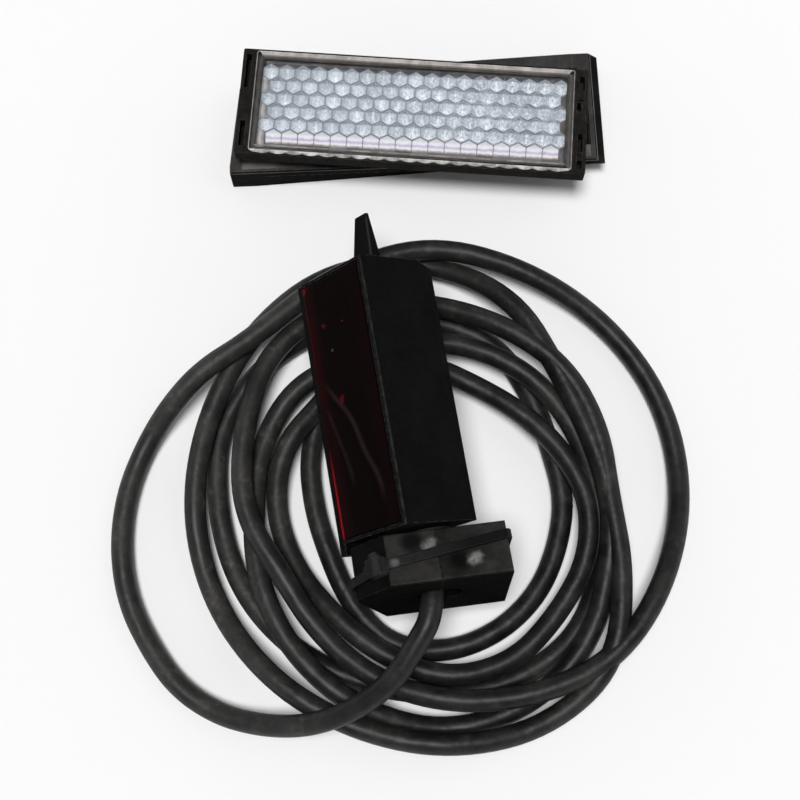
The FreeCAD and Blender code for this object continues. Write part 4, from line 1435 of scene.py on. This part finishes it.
    def cell_nodes(self) -> Tree:
        """The node tree that sets cells out in staggered rows, each cell with a tone of its own.

        Returns:
            The tree.
        """
        tree = bpy.data.node_groups.new("prism_rows", "GeometryNodeTree")
        asked = {"Geometry": "Geometry", "Cell": "Object", "Across": "Int", "Rows": "Int", "Pitch": "Float",
                 "Start": "Float", "Seed": "Int", "Finish": "Material"}
        for name, kind in asked.items():
            tree.interface.new_socket(name=name, in_out="INPUT", socket_type=f"NodeSocket{kind}")
        tree.interface.new_socket(name="Geometry", in_out="OUTPUT", socket_type="NodeSocketGeometry")
        w = Wiring(tree)
        given = w.add("NodeGroupInput").outputs
        index = w.add("GeometryNodeInputIndex").outputs["Index"]
        row = w.sum("FLOOR", w.sum("DIVIDE", index, given["Across"]))
        column, odd = w.sum("MODULO", index, given["Across"]), w.sum("MODULO", row, 2.0)
        last = w.less(given["Across"], 1.0)
        x = w.times(w.plus(w.less(column, w.times(last, 0.5)), w.times(odd, 0.5)), given["Pitch"])
        y = w.less(given["Start"], w.times(row, w.times(given["Pitch"], math.sqrt(3) / 2)))
        where = w.add("ShaderNodeCombineXYZ", {"X": x, "Y": y}).outputs["Vector"]
        points = w.add("GeometryNodePoints", {"Count": w.times(given["Across"], given["Rows"])}).outputs["Points"]
        points = w.add("GeometryNodeSetPosition", {"Geometry": points, "Position": where}).outputs["Geometry"]
        whole = w.sum("LESS_THAN", w.times(w.sum("COMPARE", column, last), odd), 0.5)
        cell = w.add("GeometryNodeObjectInfo", {"Object": given["Cell"]}).outputs["Geometry"]
        inputs = {"Points": points, "Selection": whole, "Instance": cell}
        cells = w.add("GeometryNodeInstanceOnPoints", inputs).outputs["Instances"]
        chance = w.add("FunctionNodeRandomValue", {"Seed": given["Seed"]}, data_type="FLOAT").outputs[1]
        inputs = {"Geometry": cells, "Name": "tone", "Value": chance}
        cells = w.add("GeometryNodeStoreNamedAttribute", inputs, data_type="FLOAT", domain="INSTANCE").outputs[0]
        cells = w.add("GeometryNodeRealizeInstances", {"Geometry": cells}).outputs[0]
        cells = w.add("GeometryNodeSetMaterial", {"Geometry": cells, "Material": given["Finish"]}).outputs[0]
        w.add("NodeGroupOutput", {"Geometry": cells})
        return tree

    def spread(self, name: str, cell: Piece, finish: Material, across: int, rows: int, start: float) -> Piece:
        """Set one kind of cell out in rows, as a plain mesh.

        Args:
            name: the piece's name.
            cell: the cell to repeat, which is used up.
            finish: the cells' material.
            across: number of cells in a full row.
            rows: number of rows.
            start: how far from the middle the first row is.

        Returns:
            The piece.
        """
        carrier = put("prism_carrier", bpy.data.meshes.new("prism_carrier"))
        modifier = carrier.modifiers.new("prism_rows", "NODES")
        modifier.node_group = self.cell_nodes()
        sockets = {item.name: item.identifier for item in modifier.node_group.interface.items_tree
                   if item.in_out == "INPUT"}
        values = {"Cell": cell, "Across": across, "Rows": rows, "Pitch": self.pitch * MM, "Start": start * MM,
                  "Seed": self.seed, "Finish": finish}
        for label, value in values.items():
            modifier[sockets[label]] = value
        graph = bpy.context.evaluated_depsgraph_get()
        mesh = bpy.data.meshes.new_from_object(carrier.evaluated_get(graph), preserve_all_data_layers=True,
                                               depsgraph=graph)
        carrier.modifiers.remove(modifier)
        bpy.data.objects.remove(carrier)
        bpy.data.objects.remove(cell)
        mesh.transform(self.cell_lay())
        return put(name, mesh)

    def cells(self) -> Piece:
        """The staggered rows of whole cells."""
        return self.spread("prism_cells", self.cell(), SilveredPrism(self.lay()).material(), self.across, self.rows,
                           self.first_row)

    def near_row(self) -> Piece:
        """The row of half cells along the near edge."""
        start = self.first_row - self.rows * self.pitch * math.sqrt(3) / 2
        return self.spread("prism_near_row", self.half_cell(), PearlyFoot().material(), self.across - 1, 1, start)

    def border(self) -> Piece:
        """The flat border round the cells, painted shade in the notches along its far side, and the flats that finish
        the short rows.

        Each corner carries how pale it is: above 0 towards the flats' pink, below 0 towards the gaps' black.

        Returns:
            The piece.
        """
        work = bmesh.new()
        flat = work.verts.layers.float.new("flat")
        level = self.back - self.sunk
        reach, step = self.across * self.pitch / 2, self.pitch * math.sqrt(3) / 2
        radius = self.pitch / math.sqrt(3)
        near = self.first_row - self.rows * step - self.half_down
        inner = ((-reach, near), (reach, near), (reach, self.first_row + radius), (-reach, self.first_row + radius))
        # the far side is lifted towards pink as painted light against the rim's shadow; the notches get painted shade
        far_side_lift, gap, pale, half_pale, right_flat = 0.14, -0.7, 1.0, 0.2, -0.3
        side, end = self.wide / 2 - self.border_side, self.high / 2 - self.border_end
        outer = ((-side, -end), (side, -end), (side, end), (-side, end))
        rings = [[new_corner(work, x, y, level) for x, y in ring] for ring in (inner, outer)]
        band(work, *rings)
        for point in rings[0][2:]:
            point[flat] = far_side_lift
        top, notch = self.first_row + radius, self.first_row + radius / 2
        places = [-reach] + [(number - (self.across - 1) / 2) * self.pitch for number in range(self.across)] + [reach]
        for left, right in zip(places, places[1:]):
            low = left if left == -reach else right if right == reach else (left + right) / 2
            fill = [new_corner(work, x, y, level) for x, y in ((left, top), (low, notch), (right, top))]
            for point in fill:
                point[flat] = gap
            work.faces.new(fill)
        for row in range(1, self.rows + 1, 2):
            y = self.first_row - row * step
            low, inner_low = (near, near) if row == self.rows else (y - radius, y - radius / 2)
            for sign in (-1, 1):
                corners = ((reach, y + radius), (reach, low), (reach - self.pitch / 2, inner_low),
                           (reach - self.pitch / 2, y + radius / 2))
                tile = [new_corner(work, sign * x, up, level) for x, up in corners]
                for point, left_flat in zip(tile, (pale, pale, half_pale, half_pale)):
                    point[flat] = left_flat if sign < 0 else right_flat
                work.faces.new(tile)
        bmesh.ops.recalc_face_normals(work, faces=work.faces)
        for face in work.faces:
            if face.normal.z < 0:
                face.normal_flip()
        border = put("prism_border", finished("prism_border", work, self.cell_lay()))
        dress(PlateBorder().material(), border)
        return border

    def plate(self) -> Piece:
        """The clear plate with its raised rim, its frosted edges and its skirt.

        Returns:
            The piece.
        """
        top, lap, scalloped = self.rim_top, self.rim_lap, 3
        # each ring of the section: how far in from the outer edge, how high, and the finish of the band up to it
        section = (
            (lap, self.foot, Rim.STEP), (0.0, self.foot, Rim.STEP), (0.0, top - 0.96, Rim.STEP),
            (0.0, top - 0.92, Rim.EDGE), (0.0, top - 0.30, Rim.EDGE), (0.30, top, Rim.EDGE), (1.35, top, Rim.CLEAR),
            (1.75, top - 0.12, Rim.STEP), (2.15, self.face + 0.12, Rim.STEP), (2.22, self.face, Rim.STEP),
        )
        work = bmesh.new()
        rings = [self.ring(work, inset, level, number == scalloped) for number, (inset, level, _) in enumerate(section)]
        for number in range(1, len(section)):
            band(work, rings[number - 1], rings[number], section[number][2])
        under = self.ring(work, lap, self.back)
        band(work, under, rings[0], Rim.STEP)
        # the ends and the far side get copies of the frosted finishes: darker ones as painted shade, a lighter one on
        # the far side's top as a painted highlight
        at_end = {Rim.EDGE: Rim.END_EDGE, Rim.STEP: Rim.END_STEP}
        at_far_side = {Rim.CLEAR: Rim.FAR_EDGE, Rim.STEP: Rim.FAR_STEP}
        for face in work.faces:
            middle, finish = face.calc_center_median() / MM, face.material_index
            if abs(middle.x) > self.wide / 2 - self.rim_wide:
                face.material_index = at_end.get(finish, finish)
            elif middle.y > self.high / 2 - self.rim_wide:
                face.material_index = at_far_side.get(finish, finish)
        work.faces.new(rings[-1])
        work.faces.new(list(reversed(under)))
        bmesh.ops.recalc_face_normals(work, faces=work.faces)
        mesh = finished("prism_plate", work, self.lay())
        for finish in (ClearAcrylic(), *self.frosted):
            mesh.materials.append(finish.material())
        return put("prism_plate", mesh)

    def ring(self, work: Work, inset: float, level: float, scalloped: bool = False) -> Ring:
        """One ring of the plate's section, round its rectangle with rounded corners.

        Args:
            work: the mesh to add to.
            inset: distance in from the outer edge.
            level: height.
            scalloped: whether its near side swells once for each cell.

        Returns:
            The ring's corners in order.
        """
        across, along = self.wide / 2 - inset, self.high / 2 - inset
        radius = max(self.corner_least, self.corner_radius - inset * self.corner_taper)
        ring = []
        for quarter, (side, end) in enumerate(((1, 1), (-1, 1), (-1, -1), (1, -1))):
            for step in range(self.corner_steps + 1):
                angle = math.radians(90 * (quarter + step / self.corner_steps))
                x = side * (across - radius) + radius * math.cos(angle)
                y = end * (along - radius) + radius * math.sin(angle)
                ring.append(new_corner(work, x, y, level))
            if (side, end) == (-1, -1):
                count = self.scallop_steps * (self.across - 1)
                for step in range(count + 1):
                    x = (step / count - 0.5) * (self.across - 1) * self.pitch
                    lobe = self.scallop * abs(math.cos(math.pi * x / self.pitch)) if scalloped else 0.0
                    ring.append(new_corner(work, x, -along - lobe, level))
        return ring

    def slot_floors(self) -> Piece:
        """The thin floors of the slots in the holder's ends.

        Returns:
            The piece.
        """
        work = bmesh.new()
        thick, lap = 0.4, 0.1
        for x, y, long in self.slots:
            middle = Matrix.Translation(Vector((x, y, self.flange + lap + thick / 2)) * MM)
            size = Vector((self.slot + 2 * lap, long + 2 * lap, thick)) * MM
            bmesh.ops.create_cube(work, size=1.0, matrix=middle @ Matrix.Diagonal((*size, 1.0)))
        return put("slot_floors", finished("slot_floors", work, self.lay()))

    def build(self, nodes: dict[str, Piece]) -> None:
        """Make the clear reflector and dress its holder and base.

        Args:
            nodes: the frame's nodes by name.
        """
        for piece in (self.plate(), self.border(), self.cells(), self.near_row()):
            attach(piece, ROOT)
            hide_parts("reflector_prism")
        floors = self.slot_floors()
        dress(self.holder.material(), nodes["reflector_holder"], floors)
        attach(floors, ROOT)
        dress(self.base.material(), nodes["reflector_base"])


@dataclass
class Studio:
    """A pale floor under soft light, seen from the photograph's place."""

    aim: Point = (-8.24, -84.99, 0.0)
    lens: float = 64.1
    film: float = 36.0
    floor_colour: Colour = (0.90, 0.90, 0.90)
    # the floor's rings as radius and height in metres: flat round the object, rising far away
    floor_rings: Path = ((1.5, 0.0), (3.0, 0.0), (5.0, 0.25), (8.0, 1.2), (12.0, 3.2), (16.0, 5.8), (20.0, 9.0))
    floor_steps: int = 64
    sky: float = 0.10
    near_clip: float = 0.01
    # each lamp: the side that it shines from, how wide it is and how strong
    lamps: tuple[tuple[str, Point, float, float], ...] = (
        ("key", (-0.06, -0.09, 0.83), 20.5, 2.62), ("fill", (0.55, 0.18, 0.75), 36.0, 0.16),
    )

    def floor(self) -> None:
        """Lay the floor, which rises far away like a photographer's backdrop."""
        work = bmesh.new()
        turns = [2 * math.pi * step / self.floor_steps for step in range(self.floor_steps)]
        rings = [[work.verts.new((radius * math.cos(turn), radius * math.sin(turn), height)) for turn in turns]
                 for radius, height in self.floor_rings]
        work.faces.new(rings[0])
        for inner, outer in zip(rings, rings[1:]):
            band(work, outer, inner)
        bmesh.ops.recalc_face_normals(work, faces=work.faces)
        if next(iter(work.faces)).normal.z < 0:
            bmesh.ops.reverse_faces(work, faces=work.faces)
        mesh = finished("floor", work)
        mesh.shade_smooth()
        floor = put("floor", mesh)
        dress(Surface("floor").finish(Base_Color=self.floor_colour, Roughness=0.9, Specular_IOR_Level=0.1), floor)

    def lamp(self, name: str, place: Point, spread: float, strength: float) -> None:
        """Hang one wide lamp so far away that it lights the whole floor alike.

        Args:
            name: the lamp's name.
            place: the side that it shines from, seen from the object.
            spread: the angle that its face fills, in degrees.
            strength: in watts for each square metre that it lights.
        """
        light = bpy.data.lights.new(name, "SUN")
        light.angle = math.radians(spread)
        light.energy = strength
        lamp = put(name, light)
        lamp.location = place
        lamp.rotation_euler = Vector(place).to_track_quat("Z", "Y").to_euler()

    def camera(self) -> None:
        """Set the camera where the photograph was taken from."""
        data = bpy.data.cameras.new("camera")
        data.lens = self.lens
        data.sensor_width = self.film
        data.clip_start = self.near_clip
        camera = put("camera", data)
        camera.location = Vector(EYE) * MM
        camera.rotation_euler = (Vector(self.aim) - Vector(EYE)).to_track_quat("-Z", "Y").to_euler()
        bpy.context.scene.camera = camera

    def build(self) -> None:
        """Build the studio."""
        scene = bpy.context.scene
        scene.view_settings.view_transform = "Standard"
        world = bpy.data.worlds.new("studio")
        world.use_nodes = True
        backdrop = world.node_tree.nodes["Background"].inputs
        backdrop["Color"].default_value = rgba((1.0, 1.0, 1.0))
        backdrop["Strength"].default_value = self.sky
        scene.world = world
        self.floor()
        for lamp in self.lamps:
            self.lamp(*lamp)
        self.camera()


def main() -> None:
    """Build the set in order."""
    logging.basicConfig(level=logging.INFO, format="%(name)s %(message)s")
    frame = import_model()
    nodes = frame["nodes"]
    Studio().build()
    Sensor().build(nodes)
    tie = FerriteCore().build(nodes)
    Cable().build([nodes["ferrite_half_left"], nodes["ferrite_half_right"], tie])
    Reflector().build(nodes)


if __name__ == "__main__":
    main()
